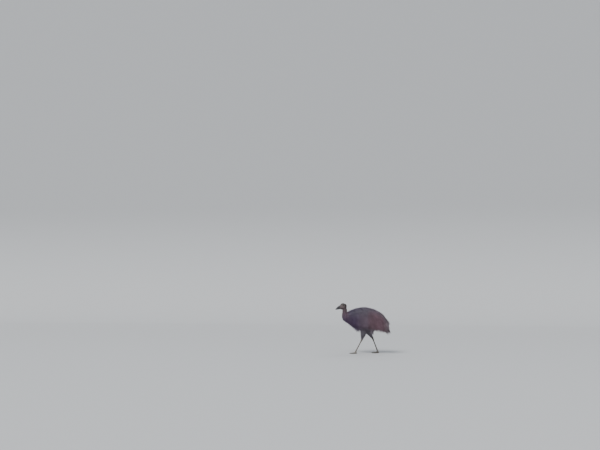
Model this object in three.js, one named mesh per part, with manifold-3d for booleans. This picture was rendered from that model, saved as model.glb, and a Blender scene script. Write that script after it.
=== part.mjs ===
// Young southern cassowary in mid stride, a still model at life size.
// Millimetres, +Z up. The bird faces -X and its left side is towards -Y.
// The origin ends up on the ground, under the middle of the bird.

import * as THREE from 'three';
import { mergeVertices } from 'three/addons/utils/BufferGeometryUtils.js';
import Module from 'manifold-3d';

const wasm = await Module();
wasm.setup();

// Driving dimensions of the bird
const gap = 0.35;
const crownHeight = 856;
const coatTop = 766;
const bellyHeight = 450;
const bodyHalfWidth = 135;
const stanceHalfWidth = 66;
const ballHeight = 34;
const shankRadius = 10;
const ankleRadius = 15.5;
const eyeRadius = 9;

// Places along the bird, seen from its left side
const leadAnkle = { x: -38, z: 238 };
const trailAnkle = { x: 146, z: 254 };
const leadBall = { x: -146, z: ballHeight };
const trailBall = { x: 229, z: ballHeight };
const leadKnee = { x: 22, z: 492 };
const trailKnee = { x: -4, z: 467 };
const eyePlace = { x: -353, z: 815, y: 29 };
const billTip = { x: -496, z: 746 };
const billBase = -401;

// Core of the body under the outer half of its coat, as upright sections
const bodyStations = [
  { x: -334, top: 655, low: 600, wide: 22 },
  { x: -326, top: 668, low: 580, wide: 40 },
  { x: -290, top: 684, low: 548, wide: 68 },
  { x: -225, top: 713, low: 508, wide: 96 },
  { x: -130, top: 750, low: 466, wide: 122 },
  { x: -10, top: coatTop, low: bellyHeight, wide: bodyHalfWidth },
  { x: 100, top: 754, low: 452, wide: 136 },
  { x: 195, top: 724, low: 456, wide: 126 },
  { x: 272, top: 680, low: 450, wide: 107 },
  { x: 330, top: 630, low: 438, wide: 82 },
  { x: 362, top: 584, low: 434, wide: 54 },
  { x: 372, top: 556, low: 450, wide: 32 },
];
const tailCut = 232;

// Centre line and size of the neck, from inside the head to inside the chest
const neckStations = [
  { x: -333, z: 792, deep: 30, wide: 26 },
  { x: -331, z: 758, deep: 36, wide: 29 },
  { x: -330, z: 722, deep: 38, wide: 32 },
  { x: -331, z: 690, deep: 37, wide: 34 },
  { x: -328, z: 648, deep: 42, wide: 44 },
  { x: -314, z: 604, deep: 48, wide: 56 },
  { x: -282, z: 574, deep: 43, wide: 58 },
  { x: -236, z: 566, deep: 36, wide: 50 },
];
const neckCutHeight = 704;

// Upright sections of the head from the back of the skull to the bill
const headStations = [
  { x: -297, top: 818, low: 790, wide: 9 },
  { x: -301, top: 828, low: 776, wide: 18 },
  { x: -311, top: 837, low: 758, wide: 27 },
  { x: -328, top: 842, low: 748, wide: 33 },
  { x: -348, top: 843, low: 744, wide: 35 },
  { x: -368, top: 839, low: 745, wide: 32 },
  { x: -385, top: 832, low: 749, wide: 27 },
  { x: -401, top: 822, low: 754, wide: 21 },
];

// The line of the mouth rises from the bill's tip to below the eye
const mouthRise = 0.27;
const gapeX = -372;

// Locks of the coat: spacing of rows and columns, size, and how far tips stand off.
// Spine locks fall and shorten by their own amounts, so that the rump ends round
const backLocks = {
  from: -298, to: 214, rowGap: 93, columnTurn: 23.5, lastTurn: 118,
  length: 188, wide: 0.86, thick: 5, rise: 24, droop: 0.13, backward: 0.5,
  spineFall: 0, spineReach: 1,
};
const rumpLocks = {
  from: 240, to: 366, rowGap: 42, columnTurn: 27, lastTurn: 105,
  length: 208, wide: 0.9, thick: 5, rise: 46, droop: 0.09, backward: 1.45,
  spineFall: 0.6, spineReach: 0.62,
};
const chestLocks = {
  rows: [0.42, 0.57, 0.72], columns: 5, length: 84, wide: 44, thick: 4.5, rise: 15, droop: 0,
};
const thighLocks = { rows: [0.4, 0.66], columns: 5, length: 84, wide: 30, thick: 4, rise: 9, droop: 0 };
const lockSteps = 4;
const lockSink = 9;
const tallSection = 313;

// Surface colours
const colours = {
  plumage: 0x5c4f60,
  rump: 0x5d4c58,
  neckSkin: 0x62585f,
  headSkin: 0x5d5758,
  horn: 0x3f3e42,
  bill: 0x4a4a50,
  eye: 0x2a1a10,
  scute: 0x8b8780,
  claw: 0x3a3836,
  wattle: 0x7c5a5c,
  quill: 0x232124,
};

const { lerp, clamp, degToRad } = THREE.MathUtils;
const up = new THREE.Vector3(0, 0, 1);
const down = new THREE.Vector3(0, 0, -1);

// A seeded draw between -1 and 1, the same each time
let drawState = 20;
function vary() {
  drawState = (Math.imul(drawState, 1664525) + 1013904223) >>> 0;
  return drawState / 2 ** 31 - 1;
}

// A closed three.js geometry as a solid that can be joined and cut
function solidOf(geometry) {
  const plain = geometry.clone();
  plain.deleteAttribute('normal');
  plain.deleteAttribute('uv');
  const merged = mergeVertices(plain, 1e-4);
  return new wasm.Manifold(new wasm.Mesh({
    numProp: 3,
    vertProperties: new Float32Array(merged.attributes.position.array),
    triVerts: new Uint32Array(merged.index.array),
  }));
}

function unionOf(solids) {
  return wasm.Manifold.union(solids);
}

// The largest closed surface of a solid, as a three.js geometry
const smallestEdge = 0.05;
function geometryOf(solid) {
  const pieces = solid.decompose();
  pieces.sort((a, b) => b.volume() - a.volume());
  const mesh = pieces[0].simplify(smallestEdge).getMesh();
  const geometry = new THREE.BufferGeometry();
  geometry.setAttribute('position', new THREE.BufferAttribute(new Float32Array(mesh.vertProperties), 3));
  geometry.setIndex(new THREE.BufferAttribute(new Uint32Array(mesh.triVerts), 1));
  geometry.computeVertexNormals();
  return geometry;
}

// A closed geometry from points and triangles, turned so that it faces out
function closedGeometry(points, triangles) {
  let volume = 0;
  const cross = new THREE.Vector3();
  for (const [a, b, c] of triangles) {
    volume += points[a].dot(cross.crossVectors(points[b], points[c]));
  }
  const geometry = new THREE.BufferGeometry().setFromPoints(points);
  geometry.setIndex(triangles.flatMap(([a, b, c]) => (volume > 0 ? [a, b, c] : [a, c, b])));
  return geometry;
}

// A closed skin over rings of points, each end filled by a fan
function loft(rings) {
  const sides = rings[0].length;
  const points = rings.flat();
  const triangles = [];
  for (let i = 0; i < rings.length - 1; i += 1) {
    for (let k = 0; k < sides; k += 1) {
      const a = i * sides + k;
      const b = i * sides + ((k + 1) % sides);
      triangles.push([a, b, b + sides], [a, b + sides, a + sides]);
    }
  }
  const lastFirst = (rings.length - 1) * sides;
  for (let k = 1; k < sides - 1; k += 1) {
    triangles.push([0, k + 1, k], [lastFirst, lastFirst + k, lastFirst + k + 1]);
  }
  return solidOf(closedGeometry(points, triangles));
}

// A flat blade through frames, split into triangles alike on both faces
function blade(frames) {
  const points = frames.flatMap(({ centre, side, out, wide, thick }) => [
    centre.clone().addScaledVector(side, wide / 2).addScaledVector(out, thick / 2),
    centre.clone().addScaledVector(side, -wide / 2).addScaledVector(out, thick / 2),
    centre.clone().addScaledVector(side, -wide / 2).addScaledVector(out, -thick / 2),
    centre.clone().addScaledVector(side, wide / 2).addScaledVector(out, -thick / 2),
  ]);
  const triangles = [[0, 1, 2], [0, 2, 3]];
  for (let i = 0; i < frames.length - 1; i += 1) {
    const [a, b, c, d] = [0, 1, 2, 3].map((k) => 4 * i + k);
    triangles.push([a, a + 4, b + 4], [a, b + 4, b], [d, c + 4, d + 4], [d, c, c + 4]);
    triangles.push([b, b + 4, c + 4], [b, c + 4, c], [d, d + 4, a + 4], [d, a + 4, a]);
  }
  const last = 4 * (frames.length - 1);
  triangles.push([last, last + 2, last + 1], [last, last + 3, last + 2]);
  return solidOf(closedGeometry(points, triangles));
}

// A smooth reading of named values between stations
function smoothStations(stations, along, keys) {
  const sorted = [...stations].sort((a, b) => a[along] - b[along]);
  const places = new Float64Array(sorted.map((station) => station[along]));
  const values = new Float64Array(sorted.flatMap((station) => keys.map((key) => station[key])));
  const curve = new THREE.CubicInterpolant(places, values, keys.length);
  return (place) => {
    const result = curve.evaluate(clamp(place, places[0], places.at(-1)));
    return Object.fromEntries(keys.map((key, index) => [key, result[index]]));
  };
}

function ringAngles(sides) {
  return Array.from({ length: sides }, (_, k) => (k * 2 * Math.PI) / sides);
}

function bentPower(value, power) {
  return Math.sign(value) * Math.abs(value) ** power;
}

// An upright oval section; the angle starts at the top and runs towards +Y
const upperPower = 2 / 2.15;
const lowerPower = 2 / 2.5;
const bodyShoulder = 0.55;
const headShoulder = 0.58;
function uprightOval(x, top, low, wide, angle, shoulder) {
  const middle = lerp(low, top, shoulder);
  const c = Math.cos(angle);
  const power = c > 0 ? upperPower : lowerPower;
  const reach = c > 0 ? top - middle : middle - low;
  return new THREE.Vector3(x, wide * bentPower(Math.sin(angle), power), middle + reach * bentPower(c, power));
}

// The core of the body, made larger by a margin
const bodyAt = smoothStations(bodyStations, 'x', ['top', 'low', 'wide']);
const bodyFirst = bodyStations[0].x;
const bodyLast = bodyStations.at(-1).x;
function bodyPoint(x, angle, margin = 0) {
  const { top, low, wide } = bodyAt(x);
  return uprightOval(x, top + margin, low - margin, wide + margin, angle, bodyShoulder);
}

function bodyForm(margin) {
  const steps = 13;
  const sides = 18;
  const rings = [];
  for (let i = 0; i <= steps; i += 1) {
    const x = lerp(bodyFirst, bodyLast, (1 - Math.cos((Math.PI * i) / steps)) / 2);
    const stretch = margin * ((i === steps) - (i === 0));
    rings.push(ringAngles(sides).map((angle) => {
      const point = bodyPoint(x, angle, margin);
      point.x += stretch;
      return point;
    }));
  }
  return loft(rings);
}

// How far out a point lies from the body's axis, 1 on its core
function bodyLevel(point, margin = 0) {
  const { top, low, wide } = bodyAt(point.x);
  const middle = lerp(low, top, bodyShoulder);
  const above = point.z > middle;
  const reach = (above ? top - middle : middle - low) + margin;
  const round = 2 / (above ? upperPower : lowerPower);
  const past = Math.max(0, point.x - bodyLast, bodyFirst - point.x) / 40;
  const level = Math.abs(point.y / (wide + margin)) ** round + Math.abs((point.z - middle) / reach) ** round;
  return level ** (1 / round) + past;
}

// Below its margin a point moves out to it; above it, it settles on the back and flanks
const hemHalfWidth = 90;
function settleOnBody(point, margin) {
  const level = bodyLevel(point, margin);
  const { top, low, wide } = bodyAt(point.x);
  const middle = lerp(low, top, bodyShoulder);
  const settle = level < 1 ? 1 : clamp((1.6 * (point.z - middle)) / (top - middle), 0, 1);
  const scale = lerp(1, 1 / level, point.x > bodyLast && level > 1 ? 0 : settle);
  const widest = Math.max(wide, hemHalfWidth) + margin;
  point.y = clamp(point.y * scale, -widest, widest);
  point.z = middle + (point.z - middle) * scale;
}

// A tube whose centre line runs through stations in an upright plane
function tubeFrames(stations, steps) {
  const path = new THREE.CatmullRomCurve3(stations.map((s) => new THREE.Vector3(s.x, s.y ?? 0, s.z)));
  const sizes = smoothStations(stations.map((s, i) => ({ ...s, at: i })), 'at', ['deep', 'wide']);
  const across = new THREE.Vector3(0, 1, 0);
  return Array.from({ length: steps + 1 }, (_, i) => {
    const t = i / steps;
    const forward = path.getTangent(t);
    const fore = new THREE.Vector3().crossVectors(across, forward).normalize();
    const side = new THREE.Vector3().crossVectors(forward, fore).normalize();
    return { centre: path.getPoint(t), forward, fore, side, ...sizes(t * (stations.length - 1)) };
  });
}

function tubeRing(frame, angle, margin) {
  return frame.centre.clone()
    .addScaledVector(frame.fore, (frame.deep + margin) * Math.cos(angle))
    .addScaledVector(frame.side, (frame.wide + margin) * Math.sin(angle));
}

function tubeForm(stations, steps, sides, margin = 0) {
  return loft(tubeFrames(stations, steps).map((frame) => (
    ringAngles(sides).map((angle) => tubeRing(frame, angle, margin)))));
}

// How far out a point lies from a tube's centre line, and its push off the tube
function nearestFrame(frames, point) {
  return frames.reduce((best, frame) => (
    frame.centre.distanceToSquared(point) < best.centre.distanceToSquared(point) ? frame : best));
}

function tubeLevel(frames, point, margin = 0) {
  const frame = nearestFrame(frames, point);
  const offset = point.clone().sub(frame.centre);
  const fore = offset.dot(frame.fore) / (frame.deep + margin);
  const side = offset.dot(frame.side) / (frame.wide + margin);
  return Math.hypot(fore, side);
}

function settleOnTube(frames, point, margin) {
  const level = tubeLevel(frames, point, margin);
  const frame = nearestFrame(frames, point);
  const offset = point.clone().sub(frame.centre);
  const ahead = frame.forward.clone().multiplyScalar(offset.dot(frame.forward));
  point.copy(frame.centre).add(ahead).addScaledVector(offset.sub(ahead), 1 / level);
}

// The outward direction of a level function at a point
function outwardOf(level, point) {
  const reach = 2;
  const slope = new THREE.Vector3();
  for (const axis of ['x', 'y', 'z']) {
    const ahead = point.clone();
    const behind = point.clone();
    ahead[axis] += reach;
    behind[axis] -= reach;
    slope[axis] = level(ahead) - level(behind);
  }
  return slope.normalize();
}

// One lock: a tapered flat blade that leaves its root, lies along the coat and droops
function lockForm(root, heading, field, lock, grow = 0) {
  const direction = heading.clone();
  const step = lock.length / lockSteps;
  const outward = outwardOf(field.level, root);
  const place = root.clone().addScaledVector(outward, -lockSink).addScaledVector(direction, -2 * lockSink);
  const places = [place.clone()];
  for (let i = 1; i <= lockSteps; i += 1) {
    const before = place.clone();
    direction.addScaledVector(down, lock.droop * i).normalize();
    place.addScaledVector(direction, step);
    field.push(place, lock.rise * (i / lockSteps) ** 0.7);
    direction.copy(place).sub(before).normalize();
    places.push(place.clone());
  }
  const widths = [0.5, 0.95, 1, 0.82, 0.14];
  const thicknesses = [1, 1, 0.85, 0.6, 0.22];
  const frames = places.map((centre, i) => {
    const next = places[Math.min(i + 1, lockSteps)];
    const last = places[Math.max(i - 1, 0)];
    const along = next.clone().sub(last).normalize();
    const out = outwardOf(field.level, centre);
    const side = new THREE.Vector3().crossVectors(along, out).normalize();
    out.crossVectors(side, along).normalize();
    return {
      centre: centre.clone().addScaledVector(along, i === lockSteps ? grow : 0),
      side,
      out,
      wide: lock.wide * widths[i] + 2 * grow,
      thick: lock.thick * thicknesses[i] + 2 * grow,
    };
  });
  return blade(frames);
}

// Locks in staggered rows over the body's core, parted along the spine
const bodyField = { level: (point) => bodyLevel(point), push: settleOnBody };
function bodyLockPlans(set) {
  const plans = [];
  const rows = Math.floor((set.to - set.from) / set.rowGap) + 1;
  const halfTurns = Math.ceil(set.lastTurn / set.columnTurn);
  for (let row = 0; row < rows; row += 1) {
    for (let column = -halfTurns; column <= halfTurns; column += 1) {
      const degrees = (column + (row % 2) / 2) * set.columnTurn;
      if (Math.abs(degrees) > set.lastTurn) continue;
      const jitter = degrees === 0 ? 0 : vary() * 2;
      const angle = degToRad(degrees + jitter);
      const x = set.from + row * set.rowGap + vary() * 6;
      const root = bodyPoint(x, angle);
      const spread = degToRad(set.columnTurn / 2);
      const room = bodyPoint(x, angle - spread).distanceTo(bodyPoint(x, angle + spread));
      const back = bodyPoint(x + 8, angle).sub(bodyPoint(x - 8, angle)).normalize();
      const fall = bodyPoint(x, angle + Math.sign(degrees) * 0.05).sub(root).normalize();
      const tilt = Math.min(1, Math.abs(degrees) / 90);
      const heading = back.multiplyScalar(lerp(1, set.backward, tilt));
      if (degrees === 0) heading.addScaledVector(down, set.spineFall);
      else heading.addScaledVector(fall, lerp(0.25, 1, tilt));
      const { top, low } = bodyAt(x);
      const reach = x > 0 ? 1 : Math.min(1, (top - low) / tallSection + 0.08);
      plans.push({
        root,
        heading: heading.normalize(),
        lock: {
          ...set,
          length: set.length * reach * (degrees === 0 ? set.spineReach : 1) * (1 + 0.08 * vary()),
          wide: set.wide * Math.max(room, 26),
          rise: set.rise * (degrees === 0 ? 0.65 : 1),
        },
      });
    }
  }
  return plans;
}

// Locks in rings round a tube, pointing along it
function tubeLockPlans(frames, set) {
  const plans = [];
  set.rows.forEach((at, row) => {
    const frame = frames[Math.round(at * (frames.length - 1))];
    for (let column = 0; column < set.columns; column += 1) {
      const angle = ((column + (row % 2) / 2 + 0.1 * vary()) * 2 * Math.PI) / set.columns;
      const root = tubeRing(frame, angle, 0);
      plans.push({
        root,
        heading: frame.forward.clone(),
        lock: { ...set, length: set.length * (1 + 0.1 * vary()) },
      });
    }
  });
  return plans;
}

function locksFrom(plans, field, grow = 0) {
  return unionOf(plans.map(({ root, heading, lock }) => lockForm(root, heading, field, lock, grow)));
}

// An ellipsoid placed by its centre, half sizes and nose-down tilt in degrees
function ellipsoid(centre, half, tilt = 0, around = 12, rows = 8) {
  const geometry = new THREE.SphereGeometry(1, around, rows);
  geometry.scale(half.x, half.y, half.z);
  geometry.rotateY(degToRad(tilt));
  geometry.translate(centre.x, centre.y, centre.z);
  return solidOf(geometry);
}

// A box from its lowest to its highest corner
function boxBetween(low, high) {
  const geometry = new THREE.BoxGeometry(high.x - low.x, high.y - low.y, high.z - low.z);
  geometry.translate((low.x + high.x) / 2, (low.y + high.y) / 2, (low.z + high.z) / 2);
  return solidOf(geometry);
}

// Upright sections of the head, made larger by a margin
const headAt = smoothStations(headStations, 'x', ['top', 'low', 'wide']);
function headForm(margin) {
  const first = headStations[0].x;
  const last = headStations.at(-1).x;
  const steps = 9;
  const sides = 16;
  const rings = [];
  for (let i = 0; i <= steps; i += 1) {
    const x = lerp(first, last, (1 - Math.cos((Math.PI * i) / steps)) / 2);
    const { top, low, wide } = headAt(x);
    const shifted = x + (i === 0 ? margin : 0);
    rings.push(ringAngles(sides).map((angle) => (
      uprightOval(shifted, top + margin, low - margin, wide + margin, angle, headShoulder))));
  }
  return loft(rings);
}

// Height of the line of the mouth at a place along the bill
function mouthHeight(x) {
  return billTip.z + (x - billTip.x) * mouthRise;
}

// One half of the bill, as upright half-round sections from base to tip
const billSteps = 7;
const billBack = 822;
const billUnder = 756;
function billHalf(upper) {
  const rings = [];
  const length = billBase - gap - billTip.x - (upper ? 0 : 6);
  for (let i = 0; i <= billSteps; i += 1) {
    const t = i / billSteps;
    const x = billBase - gap - length * t;
    const mouth = mouthHeight(x);
    const culmen = lerp(billBack, billTip.z + 2, t) + 8 * Math.sin(Math.PI * Math.min(1, t / 0.6));
    const keel = lerp(billUnder, billTip.z - 5, t) - 1.5 * Math.sin(Math.PI * t);
    const wide = lerp(20, 2.2, t ** 0.85) * (upper ? 1 : 0.92);
    const flat = upper ? mouth + gap : mouth - gap;
    const far = upper ? Math.max(culmen, flat + 2.5) : Math.min(keel, flat - 2.5);
    const half = 6;
    rings.push(Array.from({ length: half }, (_, k) => {
      const angle = (Math.PI * k) / (half - 1);
      return new THREE.Vector3(x, wide * Math.cos(angle), flat + (far - flat) * Math.sin(angle) ** 0.9);
    }));
  }
  return loft(rings);
}

function billUpperSolid() {
  const nostrilX = billBase - 42;
  const nostrils = [-1, 1].map((side) => ellipsoid(
    { x: nostrilX, y: side * 12.2, z: mouthHeight(nostrilX) + 16 },
    { x: 9, y: 2.6, z: 2.4 },
    -28,
    8,
    5,
  ));
  return billHalf(true).subtract(unionOf(nostrils));
}

// A low shield of horn along the crown, thin at its edges
const casqueStations = [
  { x: -326, rise: 4, wide: 8 },
  { x: -336, rise: 11, wide: 12 },
  { x: -356, rise: 16, wide: 14 },
  { x: -378, rise: 17, wide: 13 },
  { x: -394, rise: 12, wide: 9 },
  { x: -399, rise: 5, wide: 5 },
];
function casqueSolid(headWithGap) {
  const shape = smoothStations(casqueStations, 'x', ['rise', 'wide']);
  const steps = 6;
  const half = 6;
  const rings = [];
  for (let i = 0; i <= steps; i += 1) {
    const x = lerp(casqueStations[0].x, casqueStations.at(-1).x, i / steps);
    const { rise, wide } = shape(x);
    const seat = headAt(x).top - 6;
    const peak = Math.min(crownHeight, headAt(x).top + rise);
    rings.push(Array.from({ length: half }, (_, k) => {
      const angle = (Math.PI * k) / (half - 1);
      return new THREE.Vector3(x, wide * Math.cos(angle), seat + (peak - seat) * Math.sin(angle) ** 0.7);
    }));
  }
  return loft(rings).subtract(headWithGap);
}

// One lid: a crescent over or under the eye
function lidForm(side, upper) {
  const lidRadius = eyeRadius + 1.2;
  const start = upper ? 0.06 : 1.08;
  const steps = 6;
  const rings = [];
  for (let i = 0; i <= steps; i += 1) {
    const turn = Math.PI * (start + (0.88 * i) / steps);
    const thick = 2.4 * Math.sin((Math.PI * (i + 0.6)) / (steps + 1.2)) + 0.5;
    const outward = new THREE.Vector3(Math.cos(turn), 0, 0.86 * Math.sin(turn));
    const centre = new THREE.Vector3(eyePlace.x, side * (eyePlace.y + 1.5), eyePlace.z)
      .addScaledVector(outward, lidRadius);
    rings.push(ringAngles(5).map((angle) => centre.clone()
      .addScaledVector(outward, thick * Math.cos(angle))
      .add(new THREE.Vector3(0, side * 1.9 * thick * Math.sin(angle), 0))));
  }
  return loft(rings);
}

// The head: lids, cups of the ears, sockets of the eyes and the corner of the mouth
const earPlace = { x: -318, y: 30, z: 800 };
function headSolid() {
  const additions = [];
  const cuts = [];
  const socket = eyeRadius + gap;
  for (const side of [-1, 1]) {
    const rim = { x: earPlace.x, y: side * (earPlace.y - 2), z: earPlace.z };
    const cup = { x: earPlace.x, y: side * (earPlace.y + 2.5), z: earPlace.z };
    const eye = { x: eyePlace.x, y: side * eyePlace.y, z: eyePlace.z };
    additions.push(lidForm(side, true), lidForm(side, false));
    additions.push(ellipsoid(rim, { x: 8, y: 4, z: 10 }, 15, 8, 6));
    cuts.push(ellipsoid(cup, { x: 4.6, y: 5, z: 6.4 }, 15, 7, 5));
    cuts.push(ellipsoid(eye, { x: socket, y: socket, z: socket }, 0, 10, 8));
  }
  const gapeDepth = 26;
  const gape = new THREE.BoxGeometry(gapeX - billBase + gapeDepth, 90, 0.9);
  gape.rotateY(-Math.atan(mouthRise));
  const middle = (gapeX + billBase - gapeDepth) / 2;
  gape.translate(middle, 0, mouthHeight(middle));
  const insideMouth = boxBetween({ x: -420, y: -13, z: 740 }, { x: -340, y: 13, z: 800 });
  cuts.push(solidOf(gape).subtract(insideMouth));
  return unionOf([headForm(0), ...additions]).subtract(unionOf(cuts));
}

function eyeSolid(side) {
  const eye = { x: eyePlace.x, y: side * eyePlace.y, z: eyePlace.z };
  return ellipsoid(eye, { x: eyeRadius, y: eyeRadius, z: eyeRadius }, 0, 10, 8);
}

// The feathered upper leg, from inside the body to just above the ankle
function thighStations(side, knee, ankle, sizes) {
  return sizes.map(([t, deep, wide]) => ({
    x: lerp(knee.x, ankle.x, t),
    y: side * lerp(stanceHalfWidth + 4, stanceHalfWidth, t),
    z: lerp(knee.z, ankle.z, t),
    deep,
    wide,
  }));
}
const leadThighSizes = [[0.02, 62, 40], [0.35, 54, 40], [0.6, 41, 33], [0.8, 27, 24], [0.93, 16, 15]];
const trailThighSizes = [[0.02, 60, 40], [0.35, 50, 40], [0.6, 34, 31], [0.8, 21, 21], [0.93, 16, 15]];

// The shank: the ankle's knob and a shaft whose front carries stepped scutes
const shankScutes = 9;
function shankForm(side, ankle, ball, margin) {
  const axis = new THREE.Vector3(ball.x - ankle.x, 0, ball.z - ankle.z);
  const forward = axis.clone().normalize();
  const across = new THREE.Vector3(0, 1, 0);
  const fore = new THREE.Vector3().crossVectors(forward, across).normalize();
  const shape = smoothStations([
    { at: -0.09, deep: ankleRadius * 0.9, wide: ankleRadius * 0.85 },
    { at: 0, deep: ankleRadius, wide: ankleRadius * 0.92 },
    { at: 0.09, deep: ankleRadius * 0.85, wide: ankleRadius * 0.8 },
    { at: 0.22, deep: shankRadius, wide: shankRadius * 0.92 },
    { at: 0.6, deep: shankRadius * 0.96, wide: shankRadius * 0.9 },
    { at: 0.86, deep: shankRadius * 1.08, wide: shankRadius * 1.05 },
    { at: 0.97, deep: shankRadius * 1.25, wide: shankRadius * 1.3 },
  ], 'at', ['deep', 'wide']);
  const first = 0.1;
  const scuteLength = (0.97 - first) / shankScutes;
  const places = [[-0.09, 0], [-0.03, 0], [0.05, 0]];
  for (let i = 0; i < shankScutes; i += 1) {
    places.push([first + i * scuteLength, 0], [first + (i + 0.88) * scuteLength, 1.5]);
  }
  const rings = places.map(([at, raised]) => {
    const centre = new THREE.Vector3(ankle.x, side * stanceHalfWidth, ankle.z).addScaledVector(axis, at);
    const { deep, wide } = shape(at);
    return ringAngles(12).map((angle) => {
      const plate = raised * Math.max(0, Math.cos(angle)) ** 0.4;
      return centre.clone()
        .addScaledVector(fore, (deep + margin + plate) * Math.cos(angle))
        .addScaledVector(across, (wide + margin + plate) * Math.sin(angle));
    });
  });
  return loft(rings);
}

// Toes: heading from straight ahead, length to the claw's root, half width, pads, scutes
const toes = [
  { name: 'middle', turn: 0, length: 92, wide: 11, pads: 3, scutes: 5 },
  { name: 'inner', turn: 27, length: 56, wide: 9.5, pads: 2, scutes: 3 },
  { name: 'outer', turn: -27, length: 70, wide: 9, pads: 3, scutes: 4 },
];
const claws = {
  middle: { length: 24, root: 6.2 },
  inner: { length: 46, root: 6.4 },
  outer: { length: 20, root: 5.2 },
};

function toeDirection(side, toe) {
  const turn = degToRad(toe.turn);
  return new THREE.Vector3(-Math.cos(turn), -side * Math.sin(turn), 0);
}

// One toe: a low tube with a swelling at each pad, flat below, stepped scutes on top
function toeForm(side, ball, toe) {
  const ahead = toeDirection(side, toe);
  const across = new THREE.Vector3().crossVectors(up, ahead);
  const places = [[0, 0]];
  for (let i = 0; i < toe.scutes; i += 1) {
    const start = 0.16 + (0.84 * i) / toe.scutes;
    places.push([start, 0], [start + 0.72 / toe.scutes, 1.3]);
  }
  places.push([1, 0]);
  const rings = places.map(([t, raised]) => {
    const swell = 1 + 0.1 * Math.cos(2 * Math.PI * toe.pads * t);
    const wide = toe.wide * lerp(1.15, 0.72, t) * swell;
    const height = lerp(30, 15, Math.min(1, t * 1.25)) * (0.9 + 0.1 * swell);
    const centre = new THREE.Vector3(ball.x, side * stanceHalfWidth, 0)
      .addScaledVector(ahead, -6 + (toe.length + 6) * t);
    return ringAngles(8).map((angle) => {
      const plate = raised * Math.max(0, Math.cos(angle)) ** 0.5;
      return centre.clone()
        .addScaledVector(across, (wide + 0.6 * plate) * Math.sin(angle))
        .addScaledVector(up, height * (0.44 + 0.56 * Math.cos(angle)) + plate * Math.cos(angle));
    });
  });
  return loft(rings);
}

// One claw: a tapered, slightly hooked cone whose tip comes near the ground
function clawSolid(side, ball, toe) {
  const { length, root } = claws[toe.name];
  const ahead = toeDirection(side, toe);
  const across = new THREE.Vector3().crossVectors(up, ahead);
  const base = new THREE.Vector3(ball.x, side * stanceHalfWidth, 0).addScaledVector(ahead, toe.length + gap);
  const steps = 5;
  const rings = [];
  for (let i = 0; i <= steps; i += 1) {
    const t = i / steps;
    const thick = lerp(root, 0.7, t ** 1.2);
    const centre = base.clone().addScaledVector(ahead, length * t);
    centre.z = Math.max(lerp(root + 1.4, 1.2, t ** 1.6), thick + 0.2);
    rings.push(ringAngles(6).map((angle) => centre.clone()
      .addScaledVector(across, thick * 0.82 * Math.sin(angle))
      .addScaledVector(up, thick * Math.cos(angle))));
  }
  return loft(rings);
}

const belowGround = boxBetween({ x: -600, y: -300, z: -60 }, { x: 600, y: 300, z: 0 });
function footSolid(side, ball, shankWithGap) {
  const y = side * stanceHalfWidth;
  const pad = ellipsoid({ x: ball.x + 3, y, z: 13 }, { x: 19, y: 17, z: 17 }, 0, 8, 6);
  const knuckle = ellipsoid({ x: ball.x, y, z: 27 }, { x: 16, y: 15, z: 17 }, 0, 8, 6);
  const forms = toes.map((toe) => toeForm(side, ball, toe));
  return unionOf([pad, knuckle, ...forms]).subtract(belowGround).subtract(shankWithGap);
}

// The stub of a wing on the flank, with its bare quills swept back and down
const wingPlace = { x: -172, angle: 84 };
const quills = { count: 5, length: 150, thick: 3.4, seat: 9, rise: 25, droop: 0.12 };
function quillForm(side, index, grow) {
  const spread = index / (quills.count - 1);
  const rootTurn = side * degToRad(wingPlace.angle + 14 * spread);
  const root = bodyPoint(wingPlace.x + 12 + 10 * spread, rootTurn, quills.seat);
  const direction = new THREE.Vector3(lerp(1, 0.55, spread), 0, lerp(-0.55, -1, spread)).normalize();
  const length = quills.length * lerp(1, 0.75, spread);
  const place = root.clone();
  const rings = [];
  const steps = 5;
  for (let i = 0; i <= steps; i += 1) {
    const thick = quills.thick * lerp(1, 0.3, (i / steps) ** 1.5) + grow;
    const out = outwardOf(bodyField.level, place);
    const side2 = new THREE.Vector3().crossVectors(direction, out).normalize();
    rings.push(ringAngles(4).map((angle) => place.clone()
      .addScaledVector(out, thick * Math.cos(angle))
      .addScaledVector(side2, thick * Math.sin(angle))));
    direction.addScaledVector(down, quills.droop).normalize();
    place.addScaledVector(direction, length / steps);
    settleOnBody(place, quills.seat + quills.rise * ((i + 1) / steps) ** 0.5);
  }
  return loft(rings);
}

function wingForm(side, grow) {
  const centre = bodyPoint(wingPlace.x, side * degToRad(wingPlace.angle), 5);
  const half = { x: 30 + grow, y: 10 + grow, z: 16 + grow };
  const parts = [ellipsoid(centre, half, 35, 10, 7)];
  for (let index = 0; index < quills.count; index += 1) parts.push(quillForm(side, index, grow));
  return unionOf(parts);
}

const group = new THREE.Group();
function place(name, solid, colour, roughness = 0.8) {
  const material = new THREE.MeshStandardMaterial({ color: colour, roughness, metalness: 0 });
  const mesh = new THREE.Mesh(geometryOf(solid), material);
  mesh.name = name;
  group.add(mesh);
}

// The body's core, parted into torso and tail by a thin upright slab
const far = 1000;
const body = bodyForm(0);
const bodyWithGap = bodyForm(gap);
const bodyFront = boxBetween({ x: -far, y: -far, z: 0 }, { x: tailCut, y: far, z: far });
const bodyRear = boxBetween({ x: tailCut + gap, y: -far, z: 0 }, { x: far, y: far, z: far });
const frontWithGap = boxBetween({ x: -far, y: -far, z: 0 }, { x: tailCut + gap, y: far, z: far });
const torsoCore = body.intersect(bodyFront);
const torsoKeepOut = bodyWithGap.intersect(frontWithGap);

// What the locks of the torso are cut clear of
const torsoNeighbours = [];

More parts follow.
